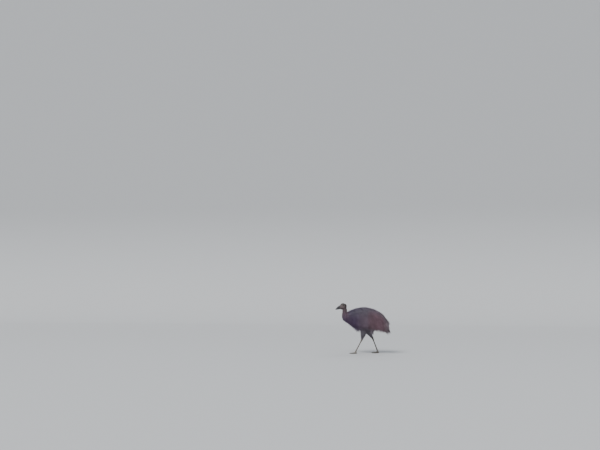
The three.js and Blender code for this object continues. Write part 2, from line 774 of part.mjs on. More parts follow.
// Head and neck
const headWithGap = headForm(gap);
const neckSteps = 12;
const neckSides = 14;
const neck = tubeForm(neckStations, neckSteps, neckSides);
const neckWithGap = tubeForm(neckStations, neckSteps, neckSides, gap);
const neckTop = boxBetween({ x: -far, y: -far, z: neckCutHeight + gap }, { x: 0, y: far, z: far });
const neckBottom = boxBetween({ x: -far, y: -far, z: 0 }, { x: 0, y: far, z: neckCutHeight });
place('head', headSolid(), colours.headSkin);
place('neck_upper', neck.intersect(neckTop).subtract(headWithGap).subtract(bodyWithGap), colours.neckSkin);
place('casque', casqueSolid(headWithGap), colours.horn, 0.5);
place('bill_upper', billUpperSolid(), colours.bill, 0.45);
place('bill_lower', billHalf(false), colours.bill, 0.45);

const neckFrames = tubeFrames(neckStations, 36);
const neckField = {
  level: (point) => tubeLevel(neckFrames, point),
  push: (point, margin) => settleOnTube(neckFrames, point, margin),
};
const chestPlans = tubeLockPlans(neckFrames, chestLocks);
const chestCoat = unionOf([neck, locksFrom(chestPlans, neckField)]).intersect(neckBottom);
place('neck_lower', chestCoat.subtract(torsoKeepOut), colours.plumage);
const chestLocksWithGap = locksFrom(chestPlans, neckField, gap);
torsoNeighbours.push(neckWithGap, chestLocksWithGap);

// Legs, wings, eyes and wattles of both sides
const sides = [
  ['left', -1, leadKnee, leadAnkle, leadBall, leadThighSizes],
  ['right', 1, trailKnee, trailAnkle, trailBall, trailThighSizes],
];
const thighSteps = 7;
const thighSides = 12;
for (const [name, side, knee, ankle, ball, thighSizes] of sides) {
  place(`eye_${name}`, eyeSolid(side), colours.eye, 0.15);
  const wattle = ellipsoid({ x: -366, y: side * 9, z: 716 }, { x: 7, y: 4.5, z: 14 }, 6, 8, 7);
  place(`wattle_${name}`, wattle.subtract(neckWithGap).subtract(chestLocksWithGap), colours.wattle, 0.6);
  place(`wing_${name}`, wingForm(side, 0).subtract(torsoKeepOut), colours.quill, 0.5);
  torsoNeighbours.push(wingForm(side, gap));

  const thighPlaces = thighStations(side, knee, ankle, thighSizes);
  const thighFrames = tubeFrames(thighPlaces, 24);
  const thighField = {
    level: (point) => tubeLevel(thighFrames, point),
    push: (point, margin) => settleOnTube(thighFrames, point, margin),
  };
  const thighPlans = tubeLockPlans(thighFrames, thighLocks);
  const thigh = unionOf([tubeForm(thighPlaces, thighSteps, thighSides), locksFrom(thighPlans, thighField)]);
  const thighWithGap = tubeForm(thighPlaces, thighSteps, thighSides, gap);
  const thighLocksWithGap = locksFrom(thighPlans, thighField, gap);
  torsoNeighbours.push(thighWithGap, thighLocksWithGap);
  place(`thigh_${name}`, thigh.subtract(torsoKeepOut), colours.plumage);

  const shank = shankForm(side, ankle, ball, 0).subtract(thighWithGap).subtract(thighLocksWithGap);
  place(`shank_${name}`, shank, colours.scute, 0.65);
  place(`foot_${name}`, footSolid(side, ball, shankForm(side, ankle, ball, gap)), colours.scute, 0.65);
  for (const toe of toes) {
    place(`claw_${toe.name}_${name}`, clawSolid(side, ball, toe), colours.claw, 0.4);
  }
}

// Tail: the core's rear with long drooping locks in tiers
const rumpPlans = bodyLockPlans(rumpLocks);
const tail = unionOf([body.intersect(bodyRear), locksFrom(rumpPlans, bodyField)]);
place('tail', tail.subtract(torsoKeepOut), colours.rump);
torsoNeighbours.push(bodyWithGap.intersect(bodyRear), locksFrom(rumpPlans, bodyField, gap));

// Torso: the core's front with its locks, cut clear of what they hang over
const torsoLocks = locksFrom(bodyLockPlans(backLocks), bodyField).subtract(unionOf(torsoNeighbours));
place('torso', unionOf([torsoCore, torsoLocks]), colours.plumage);

// The origin goes on the ground, under the middle of the whole bird's box
const box = new THREE.Box3().setFromObject(group);
const centre = box.getCenter(new THREE.Vector3());
for (const mesh of group.children) {
  mesh.geometry.translate(-centre.x, -centre.y, -box.min.z);
}

export default group;
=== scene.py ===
# Young southern cassowary in mid stride, a still model at life size: skin, coat and looks.
# Metres, +Z up. The bird faces -X and its left side is towards -Y.

import math

import bmesh
import bpy
import numpy as np
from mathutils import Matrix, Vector


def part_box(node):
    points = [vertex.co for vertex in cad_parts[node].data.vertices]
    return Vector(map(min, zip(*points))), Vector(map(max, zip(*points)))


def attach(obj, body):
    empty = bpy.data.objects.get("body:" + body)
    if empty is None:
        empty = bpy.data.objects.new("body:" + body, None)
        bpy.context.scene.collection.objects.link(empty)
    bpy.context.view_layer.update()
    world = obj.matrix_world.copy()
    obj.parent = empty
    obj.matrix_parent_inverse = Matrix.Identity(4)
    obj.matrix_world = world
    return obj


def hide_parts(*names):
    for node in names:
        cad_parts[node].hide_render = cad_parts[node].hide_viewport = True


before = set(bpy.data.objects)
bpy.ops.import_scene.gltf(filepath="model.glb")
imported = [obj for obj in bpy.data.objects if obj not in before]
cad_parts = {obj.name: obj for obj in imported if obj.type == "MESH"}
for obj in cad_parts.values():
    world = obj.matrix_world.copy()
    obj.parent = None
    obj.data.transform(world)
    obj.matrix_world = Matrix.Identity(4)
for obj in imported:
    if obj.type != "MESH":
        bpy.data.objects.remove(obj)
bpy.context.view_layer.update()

# Places on the bird, before it is set over the origin
EYE = (-0.353, 0.029, 0.815)
EYE_RADIUS = 0.009
EYE_OPENING = (0.0080, 0.0066)
EYE_SIDES = 0.018
EAR = (-0.318, 0.031, 0.800)
HEAD_MIDDLE = 0.795
BILL_TIP = (-0.496, 0.746)
BILL_BASE = -0.401
MOUTH_RISE = 0.27
GAPE = -0.372
STANCE = 0.066
KNEE_SPREAD = 0.004
BALL_HEIGHT = 0.034
LEAD = {"side": -1, "knee": (0.022, 0.492), "ankle": (-0.038, 0.238), "ball": (-0.146, BALL_HEIGHT)}
TRAIL = {"side": 1, "knee": (-0.004, 0.467), "ankle": (0.146, 0.254), "ball": (0.229, BALL_HEIGHT)}
LEGS = {"left": LEAD, "right": TRAIL}

# Upright sections of the body's core: place, top, low, half width
BODY = [
    (-0.334, 0.655, 0.600, 0.022),
    (-0.326, 0.668, 0.580, 0.040),
    (-0.290, 0.684, 0.548, 0.068),
    (-0.225, 0.713, 0.508, 0.096),
    (-0.130, 0.750, 0.466, 0.122),
    (-0.010, 0.766, 0.450, 0.135),
    (0.100, 0.754, 0.452, 0.136),
    (0.195, 0.724, 0.456, 0.126),
    (0.272, 0.680, 0.450, 0.107),
    (0.330, 0.630, 0.438, 0.082),
    (0.362, 0.584, 0.434, 0.054),
    (0.372, 0.556, 0.450, 0.032),
]

# Centre line of the neck: place, height, half depth, half width
NECK = [
    (-0.333, 0.792, 0.030, 0.026),
    (-0.331, 0.758, 0.036, 0.029),
    (-0.330, 0.722, 0.038, 0.032),
    (-0.331, 0.690, 0.037, 0.034),
    (-0.328, 0.648, 0.042, 0.044),
    (-0.314, 0.604, 0.048, 0.056),
    (-0.282, 0.574, 0.043, 0.058),
    (-0.236, 0.566, 0.036, 0.050),
]

# Upright sections of the head: place, top, low, half width
HEAD = [
    (-0.297, 0.818, 0.790, 0.009),
    (-0.301, 0.828, 0.776, 0.018),
    (-0.311, 0.837, 0.758, 0.027),
    (-0.328, 0.842, 0.748, 0.033),
    (-0.348, 0.843, 0.744, 0.035),
    (-0.368, 0.839, 0.745, 0.032),
    (-0.385, 0.832, 0.749, 0.027),
    (-0.401, 0.822, 0.754, 0.021),
]

# Crown shield: place, rise over the crown, half width
CASQUE = [
    (-0.314, -0.0045, 0.005),
    (-0.325, 0.0016, 0.010),
    (-0.340, 0.0090, 0.014),
    (-0.356, 0.0130, 0.016),
    (-0.372, 0.0150, 0.016),
    (-0.388, 0.0155, 0.013),
    (-0.398, 0.0115, 0.009),
    (-0.408, 0.0010, 0.004),
]

# Thighs: share of the way from knee to ankle, half depth, half width
THIGHS = {
    "left": [
        (0.02, 0.062, 0.040), (0.35, 0.054, 0.040), (0.6, 0.041, 0.033), (0.8, 0.027, 0.024),
        (0.93, 0.016, 0.015),
    ],
    "right": [
        (0.02, 0.060, 0.040), (0.35, 0.050, 0.040), (0.6, 0.034, 0.031), (0.8, 0.021, 0.021),
        (0.93, 0.016, 0.015),
    ],
}

# Toes: heading from straight ahead, length to the claw, half width, pads
TOES = {
    "middle": (0.0, 0.092, 0.0110, 3),
    "inner": (27.0, 0.056, 0.0095, 2),
    "outer": (-27.0, 0.070, 0.0090, 3),
}
CLAWS = {"middle": (0.024, 0.0062), "inner": (0.046, 0.0064), "outer": (0.020, 0.0052)}
SIDES = {"left": -1, "right": 1}

# Places that part head, neck and thighs from the rest
HEAD_BASE = 0.752
NECK_BASE = 0.70
NECK_BACK = -0.28
NECK_MIDDLE = -0.33
THIGH_TOP = 0.455

UPPER_POWER = 2 / 2.15
LOWER_POWER = 2 / 2.5
BODY_SHOULDER = 0.55
HEAD_SHOULDER = 0.58
UP = np.array((0, 0, 1.0))
ACROSS = np.array((0.0, 1.0, 0.0))

rng = np.random.default_rng(11)

eye_low, eye_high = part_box("eye_left")
SHIFT = (eye_low[0] + eye_high[0]) / 2 - EYE[0]


def smooth_table(rows, steps=500):
    """Rows of (place, values...) as a dense table, smooth between them."""
    rows = np.array(rows, float)
    rows = rows[np.argsort(rows[:, 0])]
    x, y = rows[:, 0], rows[:, 1:]
    slope = np.gradient(y, x, axis=0)
    places = np.linspace(x[0], x[-1], steps)
    k = np.clip(np.searchsorted(x, places, side="right") - 1, 0, len(x) - 2)
    span = (x[k + 1] - x[k])[:, None]
    t = (places - x[k])[:, None] / span
    values = (
        (1 + 2 * t) * (1 - t) ** 2 * y[k]
        + t * (1 - t) ** 2 * span * slope[k]
        + t**2 * (3 - 2 * t) * y[k + 1]
        + t**2 * (t - 1) * span * slope[k + 1]
    )
    return places, values


def read_table(table, place):
    places, values = table
    return [np.interp(place, places, column) for column in values.T]


def unit(vectors):
    return vectors / np.maximum(np.linalg.norm(vectors, axis=-1, keepdims=True), 1e-12)


def smoothstep(low, high, value):
    t = np.clip((value - low) / (high - low), 0, 1)
    return t * t * (3 - 2 * t)


def mix(a, b, share):
    return a + (b - a) * share


def bell(value, width):
    """1 where the value is 0, falling away over the width."""
    return np.exp(-((value / width) ** 2))


def apart_from(spot, x, z, wide, tall):
    """Distance from a spot on the head's side, 1 on an oval of that half width and height."""
    return np.hypot((x - spot[0]) / wide, (z - spot[2]) / tall)


def full_turn(count):
    return np.arange(count) * 2 * math.pi / count


def ellipsoid(half, t, angle):
    """One ring of an ellipsoid, at a share of the way from its top."""
    polar = mix(0.02, math.pi - 0.02, t)
    flat = math.sin(polar)
    rise = np.full(len(angle), half[2] * math.cos(polar))
    return np.stack([half[0] * flat * np.cos(angle), half[1] * flat * np.sin(angle), rise], -1)


def bent_power(value, power):
    return np.sign(value) * np.abs(value) ** power


def soft_noise(points, size, seed=0):
    """Smooth noise between -1 and 1 whose swellings are about size across."""
    place = points / size + seed * 17.31
    cell = np.floor(place).astype(np.int64)
    t = place - cell
    t = t * t * (3 - 2 * t)
    total = np.zeros(len(points))
    for corner in np.ndindex(2, 2, 2):
        at = cell + np.array(corner)
        key = (at[:, 0] * 73856093) ^ (at[:, 1] * 19349663) ^ (at[:, 2] * 83492791)
        value = ((key * 2654435761 >> 7) & 0xFFFF) / 0x7FFF - 1
        share = np.prod(np.where(np.array(corner) == 1, t, 1 - t), axis=1)
        total += share * value
    return total


def mouth_height(x):
    """Height of the line of the mouth at a place along the bill and cheek."""
    return BILL_TIP[1] + (x - BILL_TIP[0]) * MOUTH_RISE


# Body, neck, head and thighs as surfaces
body_table = smooth_table(BODY)
head_table = smooth_table(HEAD)
casque_table = smooth_table(CASQUE)
BODY_FIRST, BODY_LAST = BODY[0][0], BODY[-1][0]
PAST_END = 0.04


def upright_oval(x, top, low, wide, angle, shoulder):
    middle = mix(low, top, shoulder)
    c = np.cos(angle)
    above = c > 0
    power = np.where(above, UPPER_POWER, LOWER_POWER)
    reach = np.where(above, top - middle, middle - low)
    y = wide * bent_power(np.sin(angle), power)
    return np.stack(np.broadcast_arrays(x, y, middle + reach * bent_power(c, power)), -1)


def body_point(x, angle, margin=0.0):
    top, low, wide = read_table(body_table, x)
    return upright_oval(x, top + margin, low - margin, wide + margin, angle, BODY_SHOULDER)


def body_level(points, margin=0.0):
    """How far out points lie from the body's axis, 1 on its core."""
    x, y, z = points[:, 0], points[:, 1], points[:, 2]
    top, low, wide = read_table(body_table, x)
    middle = mix(low, top, BODY_SHOULDER)
    above = z > middle
    reach = np.where(above, top - middle, middle - low) + margin
    power = 2 / np.where(above, UPPER_POWER, LOWER_POWER)
    past = np.maximum(0, np.maximum(x - BODY_LAST, BODY_FIRST - x)) / PAST_END
    level = np.abs(y / (wide + margin)) ** power + np.abs((z - middle) / reach) ** power
    return level ** (1 / power) + past


HEM_HALF_WIDTH = 0.09
TAIL_REACH = 0.448
RUMP_START = 0.345
REAR_PUSH = 0.012


def settle_on_body(points, margin):
    """Points inside the coat's margin move out to it, rearwards behind the rump.

    Above the body's widest line, points outside the margin move in to it.
    """
    level = body_level(points, margin)
    past = np.maximum(0, points[:, 0] - BODY_LAST) / PAST_END
    behind = smoothstep(RUMP_START, BODY_LAST, points[:, 0]) * (level < 1)
    pushed = BODY_LAST + REAR_PUSH * np.maximum(0, 1 - level + past)
    x = mix(points[:, 0], pushed, 0.4 * behind)
    x -= 0.5 * np.maximum(0, x - TAIL_REACH)
    top, low, wide = read_table(body_table, points[:, 0])
    middle = mix(low, top, BODY_SHOULDER)
    settle = np.clip(1.6 * (points[:, 2] - middle) / (top - middle), 0, 1)
    settle = np.where(level < 1, 1, np.where(points[:, 0] > BODY_LAST, 0, settle))
    scale = mix(1, 1 / level, settle * (1 - behind))
    widest = np.maximum(wide, HEM_HALF_WIDTH) + margin
    y = np.clip(points[:, 1] * scale, -widest, widest)
    z = middle + (points[:, 2] - middle) * scale
    return np.stack([x, y, z], -1)


def tube_frames(stations, steps=80):
    """Centre line, axes and half sizes along a tube of (x, y, z, deep, wide) stations."""
    stations = np.array(stations, float)
    gaps = np.linalg.norm(np.diff(stations[:, :3], axis=0), axis=1)
    along = np.concatenate([[0], np.cumsum(gaps)])
    places, values = smooth_table(np.column_stack([along, stations]), steps)
    centre = values[:, :3]
    forward = unit(np.gradient(centre, places, axis=0))
    fore = unit(np.cross(ACROSS, forward))
    side = unit(np.cross(forward, fore))
    return {
        "centre": centre, "forward": forward, "fore": fore, "side": side,
        "deep": values[:, 3], "wide": values[:, 4], "length": along[-1],
    }


def read_tube(tube, key, at):
    """One of a tube's rows of values, read at shares of its length."""
    steps = np.arange(len(tube["deep"])) / (len(tube["deep"]) - 1)
    return np.stack([np.interp(at, steps, column) for column in np.atleast_2d(tube[key].T)], -1)


def tube_point(tube, at, angle, margin=0.0):
    """A point on a tube at a share of its length."""
    deep, wide = read_tube(tube, "deep", at) + margin, read_tube(tube, "wide", at) + margin
    fore, side = read_tube(tube, "fore", at), read_tube(tube, "side", at)
    c, s = np.cos(angle)[..., None], np.sin(angle)[..., None]
    return read_tube(tube, "centre", at) + fore * deep * c + side * wide * s


def nearest_on_tube(tube, points, batch=20000):
    nearest = np.empty(len(points), int)
    for start in range(0, len(points), batch):
        chunk = points[start:start + batch]
        apart = ((chunk[:, None] - tube["centre"][None]) ** 2).sum(-1)
        nearest[start:start + batch] = apart.argmin(1)
    return nearest


def tube_place(tube, points, margin=0.0):
    """Nearest frame, fore and side shares, and level of points round a tube."""
    k = nearest_on_tube(tube, points)
    offset = points - tube["centre"][k]
    fore = (offset * tube["fore"][k]).sum(1) / (tube["deep"][k] + margin)
    side = (offset * tube["side"][k]).sum(1) / (tube["wide"][k] + margin)
    return k, fore, side, np.hypot(fore, side)


def settle_on_tube(tube):
    def settle(points, margin):
        k, _, _, level = tube_place(tube, points, margin)
        offset = points - tube["centre"][k]
        ahead = tube["forward"][k] * (offset * tube["forward"][k]).sum(1, keepdims=True)
        return tube["centre"][k] + ahead + (offset - ahead) / level[:, None]
    return settle


def slope_of(level, points, reach=0.002):
    """The outward direction of a level function at points."""
    slope = np.empty_like(points)
    for axis in range(3):
        step = np.zeros(3)
        step[axis] = reach
        slope[:, axis] = level(points + step) - level(points - step)
    return unit(slope)


neck_tube = tube_frames([(x, 0, z, deep, wide) for x, z, deep, wide in NECK])
thigh_tubes = {}
for leg_name, leg in LEGS.items():
    (knee_x, knee_z), (ankle_x, ankle_z) = leg["knee"], leg["ankle"]
    thigh_tubes[leg_name] = tube_frames([
        (
            mix(knee_x, ankle_x, t), leg["side"] * mix(STANCE + KNEE_SPREAD, STANCE, t),
            mix(knee_z, ankle_z, t), deep, wide,
        )
        for t, deep, wide in THIGHS[leg_name]
    ])


# Meshes from arrays
def ring_skin(rings):
    """Points and faces of a closed skin over an array of rings."""
    count, sides = rings.shape[:2]
    i, k = np.meshgrid(np.arange(count - 1), np.arange(sides), indexing="ij")
    a, b = i * sides + k, i * sides + (k + 1) % sides
    quads = np.stack([a, b, b + sides, a + sides], -1).reshape(-1, 4)
    points = np.vstack([rings.reshape(-1, 3), rings[0].mean(0), rings[-1].mean(0)])
    k = np.arange(sides)
    after = (k + 1) % sides
    first, last = count * sides, count * sides + 1
    start = np.stack([np.full(sides, first), after, k], -1)
    end = np.stack([np.full(sides, last), (count - 1) * sides + k, (count - 1) * sides + after], -1)
    groups = [quads, np.vstack([start, end])]
    a, b, c = (points[quads[:, n]] for n in range(3))
    if (np.cross(b - a, c - a) * (a - points.mean(0))).sum() < 0:
        groups = [group[:, ::-1] for group in groups]
    return points, groups


def joined(parts):
    """Several (points, groups) as one."""
    points, quads, triangles, start = [], [], [], 0
    for part_points, groups in parts:
        for group in groups:
            (quads if group.shape[1] == 4 else triangles).append(group + start)
        points.append(part_points)
        start += len(part_points)
    groups = [np.vstack(found) for found in (quads, triangles) if found]
    return np.vstack(points), groups


def mesh_from(name, points, groups):
    mesh = bpy.data.meshes.new(name)
    mesh.vertices.add(len(points))
    mesh.vertices.foreach_set("co", np.ascontiguousarray(points, np.float32).ravel())
    corners = np.concatenate([group.ravel() for group in groups])
    sizes = np.concatenate([np.full(len(group), group.shape[1]) for group in groups])
    mesh.loops.add(len(corners))
    mesh.loops.foreach_set("vertex_index", corners.astype(np.int32))
    mesh.polygons.add(len(sizes))
    starts = np.concatenate([[0], np.cumsum(sizes)[:-1]])
    mesh.polygons.foreach_set("loop_start", starts.astype(np.int32))
    mesh.polygons.foreach_set("use_smooth", np.full(len(sizes), True))
    mesh.update(calc_edges=True)
    mesh.validate()
    return mesh


def points_of(mesh):
    points = np.empty(len(mesh.vertices) * 3, np.float32)
    mesh.vertices.foreach_get("co", points)
    return points.reshape(-1, 3).astype(float)


def normals_of(mesh):
    normals = np.empty(len(mesh.vertices) * 3, np.float32)
    mesh.vertex_normals.foreach_get("vector", normals)
    return normals.reshape(-1, 3).astype(float)


def move_points(mesh, points):
    mesh.vertices.foreach_set("co", np.ascontiguousarray(points, np.float32).ravel())
    mesh.update()


def paint(mesh, colours):
    """Per-point colours that the material reads."""
    layer = mesh.color_attributes.new("markings", "FLOAT_COLOR", "POINT")
    rgba = np.ones((len(colours), 4), np.float32)
    rgba[:, :3] = colours
    layer.data.foreach_set("color", rgba.ravel())


def add_uv(mesh, uv_of_corner):
    layer = mesh.uv_layers.new(name="OFBake")
    layer.data.foreach_set("uv", np.ascontiguousarray(uv_of_corner, np.float32).ravel())


def corners_of(mesh):
    corners = np.empty(len(mesh.loops), np.int32)
    mesh.loops.foreach_get("vertex_index", corners)
    return corners


def add_object(name, data):
    thing = bpy.data.objects.new(name, data)
    bpy.context.scene.collection.objects.link(thing)
    return thing


def add_piece(name, mesh, material, nodes=()):
    """A piece set over the origin, riding on the bird."""
    piece = add_object(name, mesh)
    points = points_of(mesh)
    points[:, 0] += SHIFT
    move_points(mesh, points)
    mesh.materials.append(material)
    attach(piece, "root")
    if nodes:
        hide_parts(*nodes)
    return piece


def remeshed(name, points, groups, voxel, smooth_steps):
    """A new closed mesh over overlapping shells, rounded where they meet."""
    source = add_object(name, mesh_from(name, points, groups))
    remesh = source.modifiers.new("remesh", "REMESH")
    remesh.mode = "VOXEL"
    remesh.voxel_size = voxel
    rounding = source.modifiers.new("rounding", "SMOOTH")
    rounding.factor = 0.5
    rounding.iterations = smooth_steps
    evaluated = source.evaluated_get(bpy.context.evaluated_depsgraph_get())
    mesh = bpy.data.meshes.new_from_object(evaluated)
    bpy.data.objects.remove(source)
    mesh.polygons.foreach_set("use_smooth", np.full(len(mesh.polygons), True))
    return mesh


def refine(mesh, chosen, times):
    """Splits the faces between chosen points, and smooths them."""
    form = bmesh.new()
    form.from_mesh(mesh)
    for _ in range(times):
        edges = [edge for edge in form.edges if all(chosen(vert.co) for vert in edge.verts)]
        bmesh.ops.subdivide_edges(form, edges=edges, cuts=1, use_grid_fill=True)
        inside = [vert for vert in form.verts if chosen(vert.co)]
        for _ in range(2):
            bmesh.ops.smooth_vert(
                form, verts=inside, factor=0.5, use_axis_x=True, use_axis_y=True, use_axis_z=True,
            )
    bmesh.ops.triangulate(form, faces=form.faces)
    form.to_mesh(mesh)
    form.free()
    mesh.update()


# Colours, as red, green and blue from 0 to 255
def colour(red, green, blue):
    srgb = np.array((red, green, blue), float) / 255
    return np.where(srgb > 0.04045, ((srgb + 0.055) / 1.055) ** 2.4, srgb / 12.92)


CROWN = colour(50, 44, 43)
CHEEK = colour(84, 73, 73)
UPPER_NECK = colour(103, 87, 91)
LOWER_NECK = colour(112, 90, 102)
CHEST = colour(97, 76, 97)
LOW_CHEST = colour(82, 64, 92)
SHOULDER = colour(96, 88, 109)
BACK = colour(99, 92, 105)
FLANK = colour(115, 97, 112)
BACK_END = colour(108, 99, 106)
RUMP = colour(114, 87, 99)
LOW_RUMP = colour(122, 92, 104)
TAIL = colour(122, 110, 116)
THIGH = colour(113, 107, 116)
COAT_GAIN = 1.15


def stops(place, pairs):
    """A colour read from (place, colour) stops."""
    places, values = zip(*pairs)
    return np.stack([np.interp(place, places, channel) for channel in np.array(values).T], -1)


def speckled(points, dark, pale, size, seed, middle=0.5, swing=0.5):
    """A colour that wanders between a dark and a pale one."""
    share = np.clip(middle + swing * soft_noise(points, size, seed), 0, 1)
    return mix(dark, pale, share[:, None])


def coat_colours(points):
    """Colours of skin and coat by place: neck, chest, back, flank, rump, tail and thighs."""
    x, z = points[:, 0], points[:, 2]
    top, low, _ = read_table(body_table, np.clip(x, -0.30, 0.34))
    share = (z - low) / (top - low) - 0.22 * smoothstep(0.02, 0.12, x)
    height = smoothstep(0.42, 0.92, share)[:, None]
    upper = stops(x, [
        (-0.32, LOWER_NECK), (-0.24, SHOULDER), (-0.05, BACK), (0.18, BACK), (0.30, BACK_END), (0.43, TAIL),
    ])
    lower = stops(x, [
        (-0.32, CHEST), (-0.22, LOW_CHEST), (-0.14, LOW_CHEST), (-0.01, FLANK), (0.05, FLANK),
        (0.09, RUMP), (0.22, LOW_RUMP), (0.31, LOW_RUMP), (0.385, TAIL),
    ])
    found = mix(lower, upper, height)
    neck = stops(z, [
        (0.56, LOW_CHEST), (0.62, CHEST), (0.70, LOWER_NECK), (0.75, UPPER_NECK), (0.79, CHEEK),
        (0.815, CHEEK), (0.832, CROWN),
    ])
    front = np.where((z > 0.735) & (x < -0.27), 1, 1 - smoothstep(-0.30, -0.25, x + 0.25 * (z - 0.66)))
    found = mix(found, neck, front[:, None])
    leg = (1 - smoothstep(0.38, 0.44, z)) * (1 - smoothstep(0.17, 0.22, x)) * smoothstep(-0.14, -0.03, x)
    found = mix(found, THIGH, leg[:, None])
    broad = soft_noise(points, 0.07, 3)
    fine = soft_noise(points, 0.022, 5)
    return found * COAT_GAIN * (1 + 0.10 * broad + 0.10 * fine)[:, None]


# An unwrap of the skin: a chart each for body, neck, head and the thighs
CHARTS = {
    "body": (0.02, 0.66, 0.02, 0.98),
    "neck": (0.69, 0.98, 0.02, 0.32),
    "head": (0.69, 0.98, 0.35, 0.62),
    "left": (0.69, 0.98, 0.65, 0.80),
    "right": (0.69, 0.98, 0.83, 0.98),
}


def turn_and_reach(part, points):
    """The turn about a part's axis, from -0.5 to 0.5, and the share of the way along it."""
    x, y, z = points.T
    if part == "body":
        top, low, _ = read_table(body_table, x)
        turn = np.arctan2(y, z - mix(low, top, BODY_SHOULDER))
        return turn / (2 * math.pi), (x - BODY_FIRST) / (BODY_LAST - BODY_FIRST)
    if part == "head":
        turn = np.arctan2(y, z - HEAD_MIDDLE)
        return turn / (2 * math.pi), (x - HEAD[-1][0]) / (HEAD[0][0] - HEAD[-1][0])
    tube = neck_tube if part == "neck" else thigh_tubes[part]
    k, fore, side, _ = tube_place(tube, points)
    return np.arctan2(side, fore) / (2 * math.pi), k / (len(tube["deep"]) - 1)


def on_chart(part, turn, reach):
    left, right, low, high = CHARTS[part]
    u = mix(left, right, np.clip(reach, -0.02, 1.02) * 0.96 + 0.02)
    v = mix(low, high, np.clip(turn + 0.5, 0, 1))
    return np.stack([u, v], -1)


def part_of(points):
    """Which part of the unwrap each point belongs to."""
    x, _, z = points.T
    parts = np.full(len(points), "body", dtype=object)
    parts[(x < -0.24) & (z < 0.76) & (tube_place(neck_tube, points)[3] < 1.25)] = "neck"
    parts[(x < -0.29) & (z >= HEAD_BASE)] = "head"
    for name in LEGS:
        level = tube_place(thigh_tubes[name], points)[3]
        parts[(level < 1.3) & (z < THIGH_TOP)] = name
    return parts


def unwrap(mesh):
    """Puts every face of the skin on its part's chart."""
    points = points_of(mesh)
    corners = corners_of(mesh).reshape(-1, 3)
    centres = points[corners].mean(1)
    parts = part_of(centres)
    uv = np.zeros((len(corners), 3, 2))
    for part in CHARTS:
        rows = np.flatnonzero(parts == part)
        if not len(rows):
            continue
        face_turn, _ = turn_and_reach(part, centres[rows])
        for n in range(3):
            turn, reach = turn_and_reach(part, points[corners[rows, n]])
            turn = face_turn + (turn - face_turn + 0.5) % 1 - 0.5
            uv[rows, n] = on_chart(part, turn, reach)
    add_uv(mesh, uv.reshape(-1, 2))


# The skin under the coat
def shell(rings_of, count, sides):
    share = (1 - np.cos(np.pi * np.arange(count) / (count - 1))) / 2
    angle = full_turn(sides)
    return ring_skin(np.stack([rings_of(t, angle) for t in share]))


SKIN_DEPTH = 0.004
NECK_DEPTH = 0.0025
HEAD_DEPTH = 0.0008
CUFF = 0.011
CUFF_SWELL = 0.006
SKIN_VOXEL = 0.0045


def body_ring(t, angle):
    x = mix(BODY_FIRST + SKIN_DEPTH, BODY_LAST - SKIN_DEPTH, t)
    return body_point(np.full(len(angle), x), angle, -SKIN_DEPTH)


def head_ring(t, angle):
    x = mix(HEAD[0][0] - HEAD_DEPTH, BILL_BASE - CUFF, t)
    top, low, wide = read_table(head_table, x)
    sink = HEAD_DEPTH + 0.30 * max(0.0, BILL_BASE - x) + 16 * max(0.0, BILL_BASE - x) ** 2
    ring = upright_oval(x, top - sink, low + 0.6 * sink, wide - sink, angle, HEAD_SHOULDER)
    forward = smoothstep(0.80, 1.0, t) * np.maximum(0, np.sin(np.abs(angle - math.pi) + 0.25)) ** 3
    ring[:, 0] -= CUFF_SWELL * forward
    return ring


def tube_rings(tube, depth):
    def ring(t, angle):
        return tube_point(tube, np.full(len(angle), t), angle, -depth)
    return ring


skin_shells = [
    shell(body_ring, 60, 64),
    shell(head_ring, 40, 48),
    shell(tube_rings(neck_tube, NECK_DEPTH), 50, 40),
    shell(tube_rings(thigh_tubes["left"], SKIN_DEPTH), 40, 36),
    shell(tube_rings(thigh_tubes["right"], SKIN_DEPTH), 40, 36),
]
skin = remeshed("skin", *joined(skin_shells), SKIN_VOXEL, 6)
refine(skin, lambda co: co.z > NECK_BASE and co.x < -0.285, 2)


FOLD_APART = 0.0085


